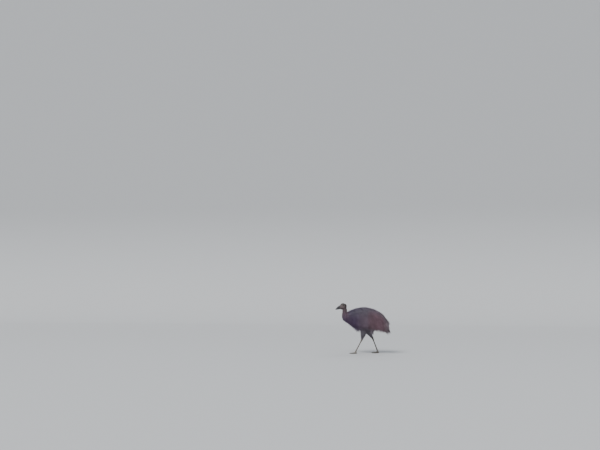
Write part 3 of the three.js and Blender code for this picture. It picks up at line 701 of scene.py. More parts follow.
def sculpt_head(points, normals):
    """Eye sockets and lids, ears, the corner of the mouth, brow and folds, as moves along the normals."""
    x, y, z = points.T
    flank = np.abs(y) > EYE_SIDES
    # lids and socket
    eye_x, eye_z = x - EYE[0], z - EYE[2]
    opening = apart_from(EYE, x, z, *EYE_OPENING)
    socket = (1 - smoothstep(0.86, 1.04, opening)) * flank
    rim = bell(opening - 1.22, 0.17) * flank
    crease = bell(opening - 1.62, 0.16) * flank
    move = -0.0060 * socket + 0.0024 * rim * (1 + 0.3 * (eye_z > 0)) - 0.0007 * crease
    # brow over the eye
    move += 0.0014 * bell(eye_z - 0.0150 + 0.25 * eye_x, 0.0045) * bell(eye_x, 0.020) * flank
    # ear
    ear = apart_from(EAR, x, z, 0.0040, 0.0052)
    move += (-0.0030 * (1 - smoothstep(0.55, 1.0, ear)) + 0.0013 * bell(ear - 1.35, 0.3)) * flank
    # corner of the mouth and its lips
    below = z - mouth_height(x)
    reach = smoothstep(GAPE + 0.001, GAPE - 0.008, x)
    move += reach * (-0.0020 * bell(below, 0.0011) + 0.0008 * bell(np.abs(below) - 0.0028, 0.0016))
    # cheek hollow and jaw
    move += -0.0012 * bell(x + 0.385, 0.012) * bell(z - 0.800, 0.012) * flank
    move += 0.0010 * bell(x + 0.345, 0.020) * bell(z - 0.772, 0.010) * flank
    move *= smoothstep(0.735, 0.755, z) * (x < -0.29)
    # folds round the neck, and fine grain
    bare = smoothstep(NECK_BASE, 0.72, z) * (x < NECK_BACK)
    neck = bare * (1 - smoothstep(0.750, 0.775, z))
    height = z + 0.010 * soft_noise(points, 0.03, 7) + 0.06 * (x - NECK_MIDDLE)
    folds = np.sin(2 * math.pi * height / FOLD_APART)
    move += 0.0006 * folds * neck * (0.6 + 0.4 * soft_noise(points, 0.02, 9))
    move += bare * (0.00022 * soft_noise(points, 0.0035, 12) + 0.00045 * soft_noise(points, 0.011, 13))
    return points + normals * move[:, None]


move_points(skin, sculpt_head(points_of(skin), normals_of(skin)))


def head_tint_and_painted_shade(points):
    """Painted shade in the sockets, along the lids, in the ears and along the mouth line, and paler skin
    behind the eye.
    """
    x, y, z = points.T
    lids = bell(apart_from(EYE, x, z, *EYE_OPENING) - 1.12, 0.22)
    ear = bell(apart_from(EAR, x, z, 0.0045, 0.006), 1)
    patch = bell(x - EYE[0], 0.017) * bell(z - EYE[2] - 0.002, 0.012)
    pale = bell(x + 0.335, 0.020) * bell(z - 0.789, 0.012)
    mouth = bell(z - mouth_height(x), 0.002) * (x < GAPE)
    flank = np.abs(y) > 0.015
    # the darkening here is painted shade in the hollows and creases that sculpt_head carves; the pale patch
    # behind the eye is lighter skin
    shade = 1 + (0.50 * pale - 0.30 * lids - 0.42 * patch - 0.6 * ear) * flank - 0.6 * mouth
    return np.where(((x < NECK_BACK) & (z > NECK_BASE))[:, None], shade[:, None], 1.0)


skin_points = points_of(skin)
paint(skin, coat_colours(skin_points) * head_tint_and_painted_shade(skin_points))
unwrap(skin)


# Feathers: guides walk over the bird, and strands follow them
def walk(roots, headings, lengths, rise, droop, level, settle, steps, sink):
    """Paths that leave their roots, lie along the coat and droop by 10 times droop in all."""
    direction = headings.copy()
    step = (lengths / steps)[:, None]
    out = slope_of(level, roots)
    place = roots - out * sink - direction * 0.5 * sink
    path = [place]
    turn = droop * 20 / (steps * (steps + 1))
    for i in range(1, steps + 1):
        before = place
        direction = unit(direction - UP * (turn * i)[:, None])
        place = before + direction * step
        place = settle(place, rise * (i / steps) ** 0.7)
        direction = unit(place - before)
        path.append(place)
    return np.stack(path, 1)


def strands_along(paths, level, count, spread, gather, wave, width, thick, segments, shorter=0.3):
    """Flattened, tapered strands, several to a guide; returns rings and the guide of each."""
    guides, path_steps = len(paths), paths.shape[1] - 1
    owner = np.repeat(np.arange(guides), count)
    total = len(owner)
    flat = paths.reshape(-1, 3)
    outs = slope_of(level, flat).reshape(paths.shape)
    t = np.linspace(0, 1, segments + 1)
    reach = 1 - shorter * rng.random(total) ** 1.3
    place = t[None] * reach[:, None] * path_steps
    k = np.clip(place.astype(int), 0, path_steps - 1)
    share = (place - k)[..., None]
    centre = mix(paths[owner[:, None], k], paths[owner[:, None], k + 1], share)
    out = unit(mix(outs[owner[:, None], k], outs[owner[:, None], k + 1], share))
    along = unit(np.gradient(centre, axis=1))
    side = unit(np.cross(along, out))
    out = np.cross(side, along)
    across = rng.uniform(-1, 1, total)[:, None]
    above = rng.uniform(-1, 1, total)[:, None]
    fan = mix(1, gather, t[None] ** 1.5) * spread
    phase = rng.uniform(0, 2 * math.pi, total)[:, None]
    waves = rng.uniform(1.2, 2.6, total)[:, None]
    sway = wave * t[None] ** 1.3 * np.sin(phase + waves * math.pi * t[None])
    lift = 0.5 * wave * t[None] ** 1.3 * np.sin(1.7 * phase + waves * math.pi * t[None])
    centre = centre + side * (across * fan + sway)[..., None]
    centre = centre + out * (0.35 * above * fan + lift)[..., None]
    taper = (1 - 0.93 * t[None] ** 2.1) * (0.55 + 0.45 * np.minimum(1, t[None] * 5))
    slim = ((width * rng.uniform(0.75, 1.25, total))[:, None] * taper)[..., None]
    edges = [centre + side * slim / 2, centre - side * slim / 2, centre + out * (slim * thick)]
    return np.stack(edges, 2), owner


UV_PATCH = 0.003


def strand_mesh(name, rings, root_uv, colours):
    """One mesh of many strands; each strand's patch of the unwrap is at its root."""
    total, count = rings.shape[:2]
    base = (np.arange(total) * count * 3)[:, None, None]
    i, k = np.meshgrid(np.arange(count - 1), np.arange(3), indexing="ij")
    after = (k + 1) % 3
    one = np.stack([i * 3 + k, i * 3 + after, (i + 1) * 3 + after, (i + 1) * 3 + k], -1).reshape(-1, 4)
    quads = (one[None] + base).reshape(-1, 4)
    last = (count - 1) * 3
    caps = (np.array([[0, 2, 1], [last, last + 1, last + 2]])[None] + base).reshape(-1, 3)
    first = rings[:, 0]
    facing = np.cross(first[:, 1] - first[:, 0], first[:, 2] - first[:, 0])
    turned = (facing * (rings[:, 1, 0] - first[:, 0])).sum()
    groups = [quads, caps] if turned < 0 else [quads[:, ::-1], caps[:, ::-1]]
    mesh = mesh_from(name, rings.reshape(-1, 3), groups)
    places = np.meshgrid(np.linspace(-0.5, 0.5, count), np.linspace(-0.5, 0.5, 3), indexing="ij")
    uv = root_uv[:, None, None] + UV_PATCH * np.stack(places, -1)[None]
    add_uv(mesh, uv.reshape(-1, 2)[corners_of(mesh)])
    tone = np.linspace(0.86, 1.12, count)[None, :, None]
    paint(mesh, np.repeat((colours * tone).reshape(-1, 3), 3, axis=0))
    return mesh


def grid_roots(length, around, spacing):
    """Jittered places in (0..1, 0..1) on a surface of that length and girth."""
    rows = max(2, int(length / spacing))
    columns = max(3, int(around / spacing))
    i, k = np.meshgrid(np.arange(rows), np.arange(columns), indexing="ij")
    u = (i + rng.uniform(0.1, 0.9, i.shape)) / rows
    v = (k + (i % 2) / 2 + rng.uniform(-0.4, 0.4, k.shape)) / columns
    return u.ravel(), v.ravel() % 1


DENSITY = 1.0


def strand_colours(rings, roots, owner):
    """The markings at each strand's root, mixed with those of the places that it hangs over."""
    clump = 1 + 0.16 * rng.uniform(-1, 1, len(roots))
    strand = 1 + 0.20 * rng.uniform(-1, 1, len(owner))
    places = rings.mean(2)
    over = coat_colours(places.reshape(-1, 3)).reshape(places.shape)
    own = coat_colours(roots)[owner][:, None]
    return mix(own, over, 0.75) * (clump[owner] * strand)[:, None, None]


COAT_GIRTH = 0.62
COAT_SPACING = 0.0150
SIDE_REACH = math.radians(150)
RUMP_GUIDES = 80
RUMP_REACH = math.radians(125)
TALLEST = 0.313


def body_coat():
    """Guides of long drooping strands over the body, parted along the spine."""
    u, v = grid_roots(BODY_LAST - BODY_FIRST, COAT_GIRTH, COAT_SPACING)
    x = mix(BODY_FIRST + 0.012, BODY_LAST - 0.006, u)
    angle = (v * 2 - 1) * SIDE_REACH
    x = np.concatenate([x, rng.uniform(RUMP_START, BODY_LAST - 0.0025, RUMP_GUIDES)])
    angle = np.concatenate([angle, rng.uniform(-1, 1, RUMP_GUIDES) * RUMP_REACH])
    turned = np.degrees(np.abs(angle))
    tilt = np.minimum(1, turned / 90)
    rear = smoothstep(0.14, 0.27, x)
    cap = smoothstep(0.335, 0.358, x)

    # headings: along the back, down the sides, straight down under the belly and at the end
    root = body_point(x, angle)
    step = 0.008
    back = unit(body_point(x + step, angle) - body_point(x - step, angle))
    fall = unit(body_point(x, angle + np.sign(angle) * 0.05) - root)
    fall = unit(mix(fall, -UP, smoothstep(95, 125, turned)[:, None]))
    heading = back * mix(1, mix(0.5, 2.1, rear), tilt)[:, None]
    crossed = smoothstep(0.20, 0.33, x) * (1 - tilt) ** 0.5
    crossing = mix(1, rng.uniform(-0.9, 0.9, len(x)), crossed) * (1 - 0.9 * cap)
    heading += fall * (mix(0.25, 1, tilt) * crossing)[:, None]
    heading -= UP * (0.35 * rear * (1 - tilt) * smoothstep(0.28, 0.36, x) + 1.1 * cap)[:, None]

    # lengths: shorter at the front, under the belly and at the end, longer at the thigh and breast
    top, low, _ = read_table(body_table, x)
    tall = np.where(x > 0, 1, np.minimum(1, (top - low) / TALLEST + 0.08))
    spine_end = 1 - 0.10 * (1 - tilt) * smoothstep(0.26, 0.36, x)
    length = mix(0.165, 0.228, rear) * tall * spine_end * rng.uniform(0.80, 1.05, len(x))
    belly = smoothstep(95, 130, turned) * (1 - rear)
    tuft = smoothstep(95, 120, turned) * bell(x - 0.095, 0.03)
    low_rear = rear * smoothstep(75, 125, turned)
    breast = bell(x + 0.16, 0.06)
    length *= 1 - (0.22 - 0.24 * breast) * belly + 0.55 * tuft - 0.28 * low_rear * (1 - cap)
    length *= 1 - 0.25 * cap * (1 - tilt) - 0.10 * cap

    rise = mix(0.035, 0.060, rear) * (1 - 0.22 * tilt) * (1 - 0.65 * cap) * rng.uniform(0.4, 1.0, len(x))
    droop = mix(0.12, 0.062, rear) + 0.14 * belly
    return root, walk(root, unit(heading), length, rise, droop, body_level, settle_on_body, 9, 0.004)


def spread_strands(name, part, roots, paths, level, count, slots=("plumage",), **form):
    """Builds a coat of strands as pieces, as many as the entries in slots, in order along the bird; all
    take the feather material.
    """
    rings, owner = strands_along(paths, level, max(2, round(count * DENSITY)), thick=0.32, **form)
    colours = strand_colours(rings, roots, owner)
    root_uv = on_chart(part, *turn_and_reach(part, roots))[owner]
    ranks = np.argsort(roots[owner, 0], kind="stable")
    for n, (slot, rows) in enumerate(zip(slots, np.array_split(ranks, len(slots)))):
        mesh = strand_mesh(f"{name}_{n + 1}", rings[rows], root_uv[rows], colours[rows])
        add_piece(f"{name}_{n + 1}", mesh, feathers)


# Materials
def new_material(name, roughness=0.6):
    material = bpy.data.materials.new(name)
    material.use_nodes = True
    nodes, links = material.node_tree.nodes, material.node_tree.links
    nodes.clear()
    output = nodes.new("ShaderNodeOutputMaterial")
    shader = nodes.new("ShaderNodeBsdfPrincipled")
    shader.inputs["Roughness"].default_value = roughness
    links.new(shader.outputs["BSDF"], output.inputs["Surface"])
    return material, nodes, links, shader


def noise(nodes, links, scale, detail=4.0, stretch=None):
    """Noise over the bird's own coordinates, stretched along an axis if asked."""
    place = nodes.new("ShaderNodeTexCoord")
    texture = nodes.new("ShaderNodeTexNoise")
    texture.inputs["Scale"].default_value = scale
    texture.inputs["Detail"].default_value = detail
    vector = place.outputs["Object"]
    if stretch:
        mapping = nodes.new("ShaderNodeMapping")
        mapping.inputs["Scale"].default_value = stretch
        links.new(vector, mapping.inputs["Vector"])
        vector = mapping.outputs["Vector"]
    links.new(vector, texture.inputs["Vector"])
    return texture.outputs["Fac"]


def cells(nodes, links, scale, feature="DISTANCE_TO_EDGE"):
    place = nodes.new("ShaderNodeTexCoord")
    texture = nodes.new("ShaderNodeTexVoronoi")
    texture.feature = feature
    texture.inputs["Scale"].default_value = scale
    links.new(place.outputs["Object"], texture.inputs["Vector"])
    return texture.outputs["Distance"]


def ranged(nodes, links, value, low, high, from_low=0.3, from_high=0.7):
    span = nodes.new("ShaderNodeMapRange")
    span.inputs["From Min"].default_value = from_low
    span.inputs["From Max"].default_value = from_high
    span.inputs["To Min"].default_value = low
    span.inputs["To Max"].default_value = high
    links.new(value, span.inputs["Value"])
    return span.outputs["Result"]


def marked_colour(nodes, links, shader, grain, low, high):
    """The markings, lightened and darkened by a grain."""
    marks = nodes.new("ShaderNodeAttribute")
    marks.attribute_name = "markings"
    shade = nodes.new("ShaderNodeMix")
    shade.data_type = "RGBA"
    shade.blend_type = "MULTIPLY"
    shade.inputs["Factor"].default_value = 1.0
    links.new(marks.outputs["Color"], shade.inputs["A"])
    links.new(ranged(nodes, links, grain, low, high), shade.inputs["B"])
    links.new(shade.outputs["Result"], shader.inputs["Base Color"])


def add_bump(nodes, links, shader, heights, strength, distance):
    """Bumps in series, one for each height."""
    normal = None
    for height, share in heights:
        bump = nodes.new("ShaderNodeBump")
        bump.inputs["Strength"].default_value = strength * share
        bump.inputs["Distance"].default_value = distance
        links.new(height, bump.inputs["Height"])
        if normal is not None:
            links.new(normal, bump.inputs["Normal"])
        normal = bump.outputs["Normal"]
    links.new(normal, shader.inputs["Normal"])


def feather_material():
    material, nodes, links, shader = new_material("feathers", 0.62)
    grain = noise(nodes, links, 220.0, 5.0)
    marked_colour(nodes, links, shader, grain, 0.78, 1.22)
    links.new(ranged(nodes, links, noise(nodes, links, 60.0), 0.52, 0.75), shader.inputs["Roughness"])
    add_bump(nodes, links, shader, [(grain, 1.0)], 0.25, 0.0006)
    shader.inputs["Sheen Weight"].default_value = 0.12
    shader.inputs["Sheen Roughness"].default_value = 0.45
    shader.inputs["Specular IOR Level"].default_value = 0.35
    return material


def skin_material():
    material, nodes, links, shader = new_material("skin", 0.6)
    fine = noise(nodes, links, 420.0, 6.0)
    wrinkles = cells(nodes, links, 330.0)
    marked_colour(nodes, links, shader, noise(nodes, links, 90.0, 8.0), 0.82, 1.18)
    links.new(ranged(nodes, links, fine, 0.48, 0.72), shader.inputs["Roughness"])
    add_bump(nodes, links, shader, [(wrinkles, 1.0), (fine, 0.6)], 0.35, 0.0012)
    shader.inputs["Subsurface Weight"].default_value = 0.06
    shader.inputs["Subsurface Radius"].default_value = (0.004, 0.002, 0.001)
    return material


def horn_material(name, roughness, streak, scale=160.0):
    """Horn with growth streaks along it, darker in the grooves and worn paler on the ridges."""
    material, nodes, links, shader = new_material(name, roughness)
    grain = noise(nodes, links, scale, 6.0, streak)
    marked_colour(nodes, links, shader, grain, 0.72, 1.3)
    worn = ranged(nodes, links, noise(nodes, links, 70.0, 5.0), roughness - 0.1, roughness + 0.15)
    links.new(worn, shader.inputs["Roughness"])
    add_bump(nodes, links, shader, [(grain, 1.0), (noise(nodes, links, 520.0, 3.0), 0.4)], 0.3, 0.0008)
    return material


def scute_material():
    material, nodes, links, shader = new_material("scutes", 0.55)
    grain = noise(nodes, links, 300.0, 6.0)
    marked_colour(nodes, links, shader, noise(nodes, links, 110.0, 6.0), 0.8, 1.2)
    links.new(ranged(nodes, links, grain, 0.45, 0.7), shader.inputs["Roughness"])
    add_bump(nodes, links, shader, [(grain, 1.0), (cells(nodes, links, 700.0), 0.5)], 0.3, 0.0006)
    return material


def eye_material():
    material, nodes, links, shader = new_material("eye", 0.08)
    marked_colour(nodes, links, shader, noise(nodes, links, 900.0, 4.0), 0.9, 1.1)
    shader.inputs["Specular IOR Level"].default_value = 0.2
    shader.inputs["Coat Weight"].default_value = 1.0
    shader.inputs["Coat Roughness"].default_value = 0.03
    return material


feathers = feather_material()
bare_skin = skin_material()
bill_horn = horn_material("bill_horn", 0.42, (0.35, 1.0, 1.0))
casque_horn = horn_material("casque_horn", 0.62, (0.35, 1.0, 1.6), 260.0)
claw_horn = horn_material("claw_horn", 0.4, (0.3, 1.0, 1.0), 260.0)
quill_horn = horn_material("quill_horn", 0.35, (1.0, 1.0, 0.3), 200.0)
scutes = scute_material()
eye_gloss = eye_material()

FLESH_NODES = ("torso", "tail", "head", "neck_upper", "neck_lower", "thigh_left", "thigh_right")
add_piece("skin", skin, bare_skin, FLESH_NODES)

# Body coat, in pieces from the shoulders to the tail
body_roots, body_paths = body_coat()
spread_strands(
    "coat_body", "body", body_roots, body_paths, body_level, 14, ["plumage"] * 5 + ["rump"] * 2,
    segments=6, spread=0.0100, gather=0.68, wave=0.0040, width=0.0026,
)


def tube_coat(tube, spacing, first, last, lengths, rises):
    """Guides that run along a tube, lengths and rises read by the share of the way."""
    girth = 2 * math.pi * float(np.mean((tube["deep"] + tube["wide"]) / 2))
    u, v = grid_roots(tube["length"] * (last - first), girth, spacing)
    at = mix(first, last, u)
    roots = tube_point(tube, at, v * 2 * math.pi)
    heading = unit(read_tube(tube, "forward", at))
    length = np.interp(at, *lengths) * rng.uniform(0.75, 1.1, len(at))
    rise = np.interp(at, *rises) * rng.uniform(0.4, 1.0, len(at))

    def level(points):
        return tube_place(tube, points)[3]

    no_droop = np.zeros(len(at))
    paths = walk(roots, heading, length, rise, no_droop, level, settle_on_tube(tube), 6, 0.003)
    return roots, paths, level


neck_roots, neck_paths, neck_level = tube_coat(
    neck_tube, 0.0105, 0.10, 0.84, ([0.10, 0.26, 0.45, 0.8], [0.016, 0.034, 0.062, 0.088]),
    ([0.10, 0.3, 0.5, 0.8], [0.0015, 0.0075, 0.017, 0.023]),
)
x, y, z = neck_roots.T
throat = (x < -0.352) & (np.abs(y) < 0.022) & (z > 0.704)
spread_strands(
    "coat_neck", "neck", neck_roots[~throat], neck_paths[~throat], neck_level, 10,
    segments=4, spread=0.006, gather=0.75, wave=0.0018, width=0.0017,
)
for leg_name in LEGS:
    thigh_roots, thigh_paths, thigh_level = tube_coat(
        thigh_tubes[leg_name], 0.0125, 0.18, 0.93, ([0.2, 0.6, 0.8, 0.95], [0.085, 0.075, 0.062, 0.040]),
        ([0.2, 0.95], [0.010, 0.005]),
    )
    spread_strands(
        f"coat_thigh_{leg_name}", leg_name, thigh_roots, thigh_paths, thigh_level, 9,
        segments=4, spread=0.007, gather=0.6, wave=0.0022, width=0.0018, shorter=0.5,
    )


# Short down on the head and upper neck, thinner towards the bill
def down_coat(name, lowest, highest, count, segments):
    points = points_of(skin)
    points[:, 0] -= SHIFT
    corners = corners_of(skin).reshape(-1, 3)
    centre = points[corners].mean(1)
    within = (centre[:, 2] > lowest) & (centre[:, 2] < highest) & (centre[:, 0] < -0.285)
    chosen = np.flatnonzero(within)
    a, b, c = (points[corners[chosen, n]] for n in range(3))
    area = np.linalg.norm(np.cross(b - a, c - a), axis=1)
    number = int(count * DENSITY)
    pick = rng.choice(len(chosen), number, p=area / area.sum())
    s, t = rng.random((2, number))
    flip = s + t > 1
    s[flip], t[flip] = 1 - s[flip], 1 - t[flip]
    roots = a[pick] + (b - a)[pick] * s[:, None] + (c - a)[pick] * t[:, None]
    out = unit(normals_of(skin)[corners[chosen[pick], 0]])

    # none on eyes, ears, crown shield and mouth, and few on the bare cheek
    x, y, z = roots.T
    middle = np.abs(y) < EYE_SIDES
    face = smoothstep(BILL_BASE, -0.345, x)
    keep = (apart_from(EYE, x, z, *EYE_OPENING) > 1.75) | middle
    keep &= (apart_from(EAR, x, z, 0.006, 0.0075) > 1.1) | middle
    keep &= rng.random(number) < mix(0.45, 1.0, np.maximum(face, 1 - smoothstep(0.76, 0.79, z)))
    keep &= ~((z > 0.838) & (x < NECK_MIDDLE))
    keep &= (np.abs(z - mouth_height(x)) > 0.0022) | (x > GAPE)
    roots, out, x, z = roots[keep], out[keep], x[keep], z[keep]

    # the down lies back over the head and hangs on the neck
    lower = 1 - smoothstep(0.735, 0.815, z + 0.10 * (x - NECK_MIDDLE))
    nape = smoothstep(-0.365, -0.322, x)
    flow = unit(np.stack([mix(0.9, 0.10, lower), np.zeros(len(x)), mix(-0.45, -1.0, lower)], -1))
    lift = mix(0.10 + 0.16 * nape, 0.16, lower)[:, None]
    flow = unit(flow - out * (flow * out).sum(1, keepdims=True) + out * lift)
    side = unit(np.cross(flow, out))
    length = mix(mix(0.0045, 0.0105, nape), 0.017, lower) * rng.uniform(0.7, 1.2, len(x))
    sway = length * rng.uniform(-0.25, 0.25, len(x))
    length, sway = length[:, None, None], sway[:, None, None]
    t = np.linspace(0, 1, segments + 1)[None, :, None]
    flow, side, out = flow[:, None], side[:, None], out[:, None]
    path = roots[:, None] - out * 0.0006 + flow * (length * t)
    path = path - out * (0.10 * length * t**2) + side * sway * t**2
    width = mix(mix(0.0008, 0.0012, nape), 0.0013, lower)[:, None, None] * (1 - 0.92 * t**1.5)
    rings = np.stack([path + side * width / 2, path - side * width / 2, path + out * width * 0.4], 2)

    shade = 0.85 + 0.3 * rng.random(len(x))
    colours = coat_colours(roots) * head_tint_and_painted_shade(roots) * shade[:, None]
    parts = part_of(roots)
    uv = np.zeros((len(x), 2))
    for part in ("head", "neck", "body"):
        rows = parts == part
        if rows.any():
            uv[rows] = on_chart(part, *turn_and_reach(part, roots[rows]))
    return strand_mesh(name, rings, uv, colours[:, None])


add_piece("down_head", down_coat("down_head", 0.765, 0.900, 17500, 1), feathers)
add_piece("down_neck", down_coat("down_neck", 0.690, 0.770, 7000, 2), feathers)


# Bill, with a ridged top, a groove for the nostril and a hooked tip
BILL_TOP = 0.822
BILL_UNDER = 0.756
BILL_GAP = 0.00035


NOSTRIL_X = BILL_BASE - 0.040
NOSTRIL_RISE = 0.016


def nostril(x, z):
    """Height from the nostril's line, and distance from the hole, 1 on its edge."""
    line = z - (mouth_height(x) + NOSTRIL_RISE + 0.10 * (x - NOSTRIL_X))
    return line, np.hypot((x - NOSTRIL_X) / 0.0065, line / 0.0018)


def bill_half(upper):
    length = BILL_BASE - BILL_GAP - BILL_TIP[0] - (0 if upper else 0.006)
    rings = []
    for t in np.arange(60) / 59:
        x = BILL_BASE - BILL_GAP - length * t
        mouth = mouth_height(x)
        culmen = mix(BILL_TOP, BILL_TIP[1] + 0.0035, t) + 0.0095 * math.sin(math.pi * min(1, t / 0.85))
        keel = mix(BILL_UNDER, BILL_TIP[1] - 0.0065, t) - 0.0030 * math.sin(math.pi * t)
        wide = mix(0.020, 0.0034, t**0.85) * (1 if upper else 0.92)
        flat = mouth + (BILL_GAP if upper else -BILL_GAP)
        flat -= 0.0022 * smoothstep(0.90, 1.0, t) * upper
        far = max(culmen, flat + 0.0028) if upper else min(keel, flat - 0.0028)
        blunt = math.sqrt(max(0.0, 1 - smoothstep(0.93, 1.0, t) ** 2))
        far = mix(flat, far, max(blunt, 0.12))
        wide *= max(blunt, 0.15)
        angle = np.linspace(0, math.pi, 25)
        ridge = 1 - 0.10 * np.sin(angle) ** 6 * (1 - np.abs(np.cos(angle)))
        y = wide * np.cos(angle) * ridge
        z = flat + (far - flat) * np.sin(angle) ** 0.9
        under = np.linspace(-1, 1, 9)[1:-1]
        y = np.concatenate([y, wide * under])
        z = np.concatenate([z, np.full(len(under), flat)])
        sunk = 1 - 0.05 * (1 - smoothstep(0.0, 0.09, t))
        rings.append(np.stack([np.full(len(y), x), y * sunk, flat + (z - flat) * sunk], -1))
    points, groups = ring_skin(np.array(rings))
    if upper:
        x, y, z = points.T
        line, hole = nostril(x, z)
        groove = bell(line, 0.0045) * smoothstep(NOSTRIL_X - 0.022, NOSTRIL_X - 0.004, x)
        inward = 0.0012 * groove + 0.0024 * (1 - smoothstep(0.7, 1.1, hole))
        points[:, 1] -= np.sign(y) * np.minimum(inward, np.abs(y) * 0.8)
    return points, groups


BILL_DARK = colour(34, 33, 37)
BILL_PALE = colour(68, 66, 73)
BILL_MIDDLE = colour(40, 38, 42)


def bill_colours(points, upper):
    x, _, z = points.T
    tip = smoothstep(BILL_BASE - 0.03, BILL_TIP[0], x)
    edge = bell(z - mouth_height(x), 0.004)
    found = speckled(points, BILL_DARK, BILL_PALE, 0.02, 21, 0.45, 0.35)
    found = mix(found, BILL_PALE, (0.35 * edge)[:, None])
    found = mix(found, BILL_MIDDLE, (0.2 * (1 - tip) * (1 - edge))[:, None])
    # painted shade: the nostril dent is darkened to stand for the shade inside the opening
    if upper:
        found = found * (1 - 0.85 * (1 - smoothstep(0.75, 1.2, nostril(x, z)[1])))[:, None]
    return found


def piece_from(name, points, groups, colours, material, nodes):
    mesh = mesh_from(name, points, groups)
    paint(mesh, colours)
    return add_piece(name, mesh, material, nodes)


for name, upper in (("bill_upper", True), ("bill_lower", False)):
    points, groups = bill_half(upper)
    colours = bill_colours(points, upper)
    piece_from(name + "_horn", points, groups, colours, bill_horn, (name,))


# Low horn shield: a swelling over the crown whose edge is sunk into the skin
def crown_height(x, y):
    """Height of the skin of the crown over a place."""
    top, low, wide = read_table(head_table, np.maximum(x, BILL_BASE))
    middle = mix(low, top, HEAD_SHOULDER)
    share = np.clip(np.abs(y) / wide, 0, 1) ** (1 / UPPER_POWER)
    past_bill = 3.0 * np.maximum(0, BILL_BASE - x) ** 1.4
    return middle + (top - middle) * (1 - share**2) ** (UPPER_POWER / 2) - past_bill


def casque_form():
    across = 31
    s = np.linspace(-1, 1, across)
    rings = []
    for x in np.linspace(CASQUE[0][0], CASQUE[-1][0], 60):
        rise, wide = read_table(casque_table, x)
        y = wide * s
        seat = crown_height(np.full(across, x), y)
        lift = rise * (1 - s**2) ** 0.8 + 0.0006 * (1 - s**8) - 0.0012
        over = np.stack([np.full(across, x), y, seat + lift], -1)
        under = np.stack([np.full(across - 2, x), y[1:-1], seat[1:-1] - 0.0075], -1)[::-1]
        rings.append(np.vstack([over, under]))
    points, groups = ring_skin(np.array(rings))
    worn = 0.0005 * soft_noise(points, 0.010, 31) + 0.0003 * soft_noise(points, 0.0035, 32)
    points[:, 2] += worn
    return points, groups


points, groups = casque_form()
horn = speckled(points, colour(36, 33, 33), colour(60, 53, 51), 0.012, 33)
piece_from("casque_shield", points, groups, horn, casque_horn, ("casque",))


# Eyes: dark iris and pupil under a clear gloss
def eye_form(side):
    rows, around = 40, 64
    polar = np.linspace(0.001, math.pi - 0.001, rows)
    turn = full_turn(around)
    axis = unit(np.array((-0.22, side, 0.05)))
    across = unit(np.cross(axis, (0, 0, 1)))
    upward = np.cross(across, axis)
    swell = 1 + 0.035 * np.exp(-((polar / 0.5) ** 2))
    rings = np.array([
        np.array((EYE[0], side * EYE[1], EYE[2]))
        + EYE_RADIUS * swell[i] * (axis * math.cos(p)
        + (across[None] * np.cos(turn)[:, None] + upward[None] * np.sin(turn)[:, None]) * math.sin(p))
        for i, p in enumerate(polar)
    ])
    points, groups = ring_skin(rings)
    polar_of = np.concatenate([np.repeat(polar, around), [0, math.pi]])
    turn_of = np.concatenate([np.tile(turn, rows), [0, 0]])
    streak = 0.5 + 0.5 * np.sin(turn_of * 23 + 3 * np.sin(turn_of * 5))
    iris = mix(colour(30, 18, 11), colour(86, 50, 24), (0.25 + 0.45 * streak)[:, None])
    rim = smoothstep(0.62, 0.74, polar_of)[:, None]
    pupil = (1 - smoothstep(0.36, 0.42, polar_of))[:, None]
    colours = mix(mix(iris, colour(24, 18, 16), rim), colour(4, 4, 5), pupil)
    return points, groups, colours


for name, side in SIDES.items():
    points, groups, colours = eye_form(side)
    piece_from(f"eyeball_{name}", points, groups, colours, eye_gloss, (f"eye_{name}",))


# Wattles: two soft folded lobes under the throat
WATTLE = (-0.366, 0.009, 0.716)
WATTLE_HALF = (0.0066, 0.0043, 0.0138)


def wattle_form(side):
    rows, around = 40, 32
    polar = np.linspace(0.02, math.pi - 0.02, rows)
    turn = full_turn(around)
    rings = []
    centre_x, centre_y, centre_z = WATTLE[0], side * WATTLE[1], WATTLE[2]
    deep, wide, tall = WATTLE_HALF
    for p in polar:
        hang = (1 - math.cos(p)) / 2
        round_at = math.sin(p) * (0.75 + 0.35 * hang)
        fold = 1 + 0.10 * np.sin(4 * turn + 1.5 * p) + 0.05 * np.sin(7 * turn)
        x = centre_x + deep * round_at * np.cos(turn) * fold + 0.0018 * hang
        y = centre_y + wide * round_at * np.sin(turn) * fold
        rings.append(np.stack([x, y, np.full(around, centre_z + tall * math.cos(p))], -1))
    points, groups = ring_skin(np.array(rings))
    points[:, 1] += 0.0004 * soft_noise(points, 0.004, 41) * np.sign(points[:, 1] - centre_y)
    return points, groups


for name, side in SIDES.items():
    points, groups = wattle_form(side)
    tone = speckled(points, colour(76, 62, 66), colour(98, 74, 75), 0.006, 43)
    piece_from(f"wattle_lobe_{name}", points, groups, tone, bare_skin, (f"wattle_{name}",))


# Legs: shank and foot as one scaled form, with plates down the front and on the toes
SHANK_START = -0.09
FLOOR_GAP = 0.0002
LEG_VOXEL = 0.0013

# Shank: share of the way from ankle to foot, half depth, half width
SHANK = smooth_table([
    (SHANK_START, 0.01395, 0.01318),
    (0.0, 0.01550, 0.01426),
    (0.09, 0.01318, 0.01240),
    (0.22, 0.01000, 0.00920),
    (0.6, 0.00960, 0.00900),
    (0.86, 0.01080, 0.01050),
    (0.97, 0.01250, 0.01300),
])


def shank_axes(leg):
    (ankle_x, ankle_z), (ball_x, ball_z) = leg["ankle"], leg["ball"]
    start = np.array((ankle_x, leg["side"] * STANCE, ankle_z))
    axis = np.array((ball_x - ankle_x, 0, ball_z - ankle_z))
    length = np.linalg.norm(axis)
    forward = axis / length
    fore = unit(np.cross(forward, ACROSS))
    return start, forward, fore, length


def toe_axes(leg, turn):
    a = math.radians(turn)
    ahead = np.array((-math.cos(a), -leg["side"] * math.sin(a), 0))
    across = np.cross(UP, ahead)
    start = np.array((leg["ball"][0], leg["side"] * STANCE, 0))
    return start, ahead, across


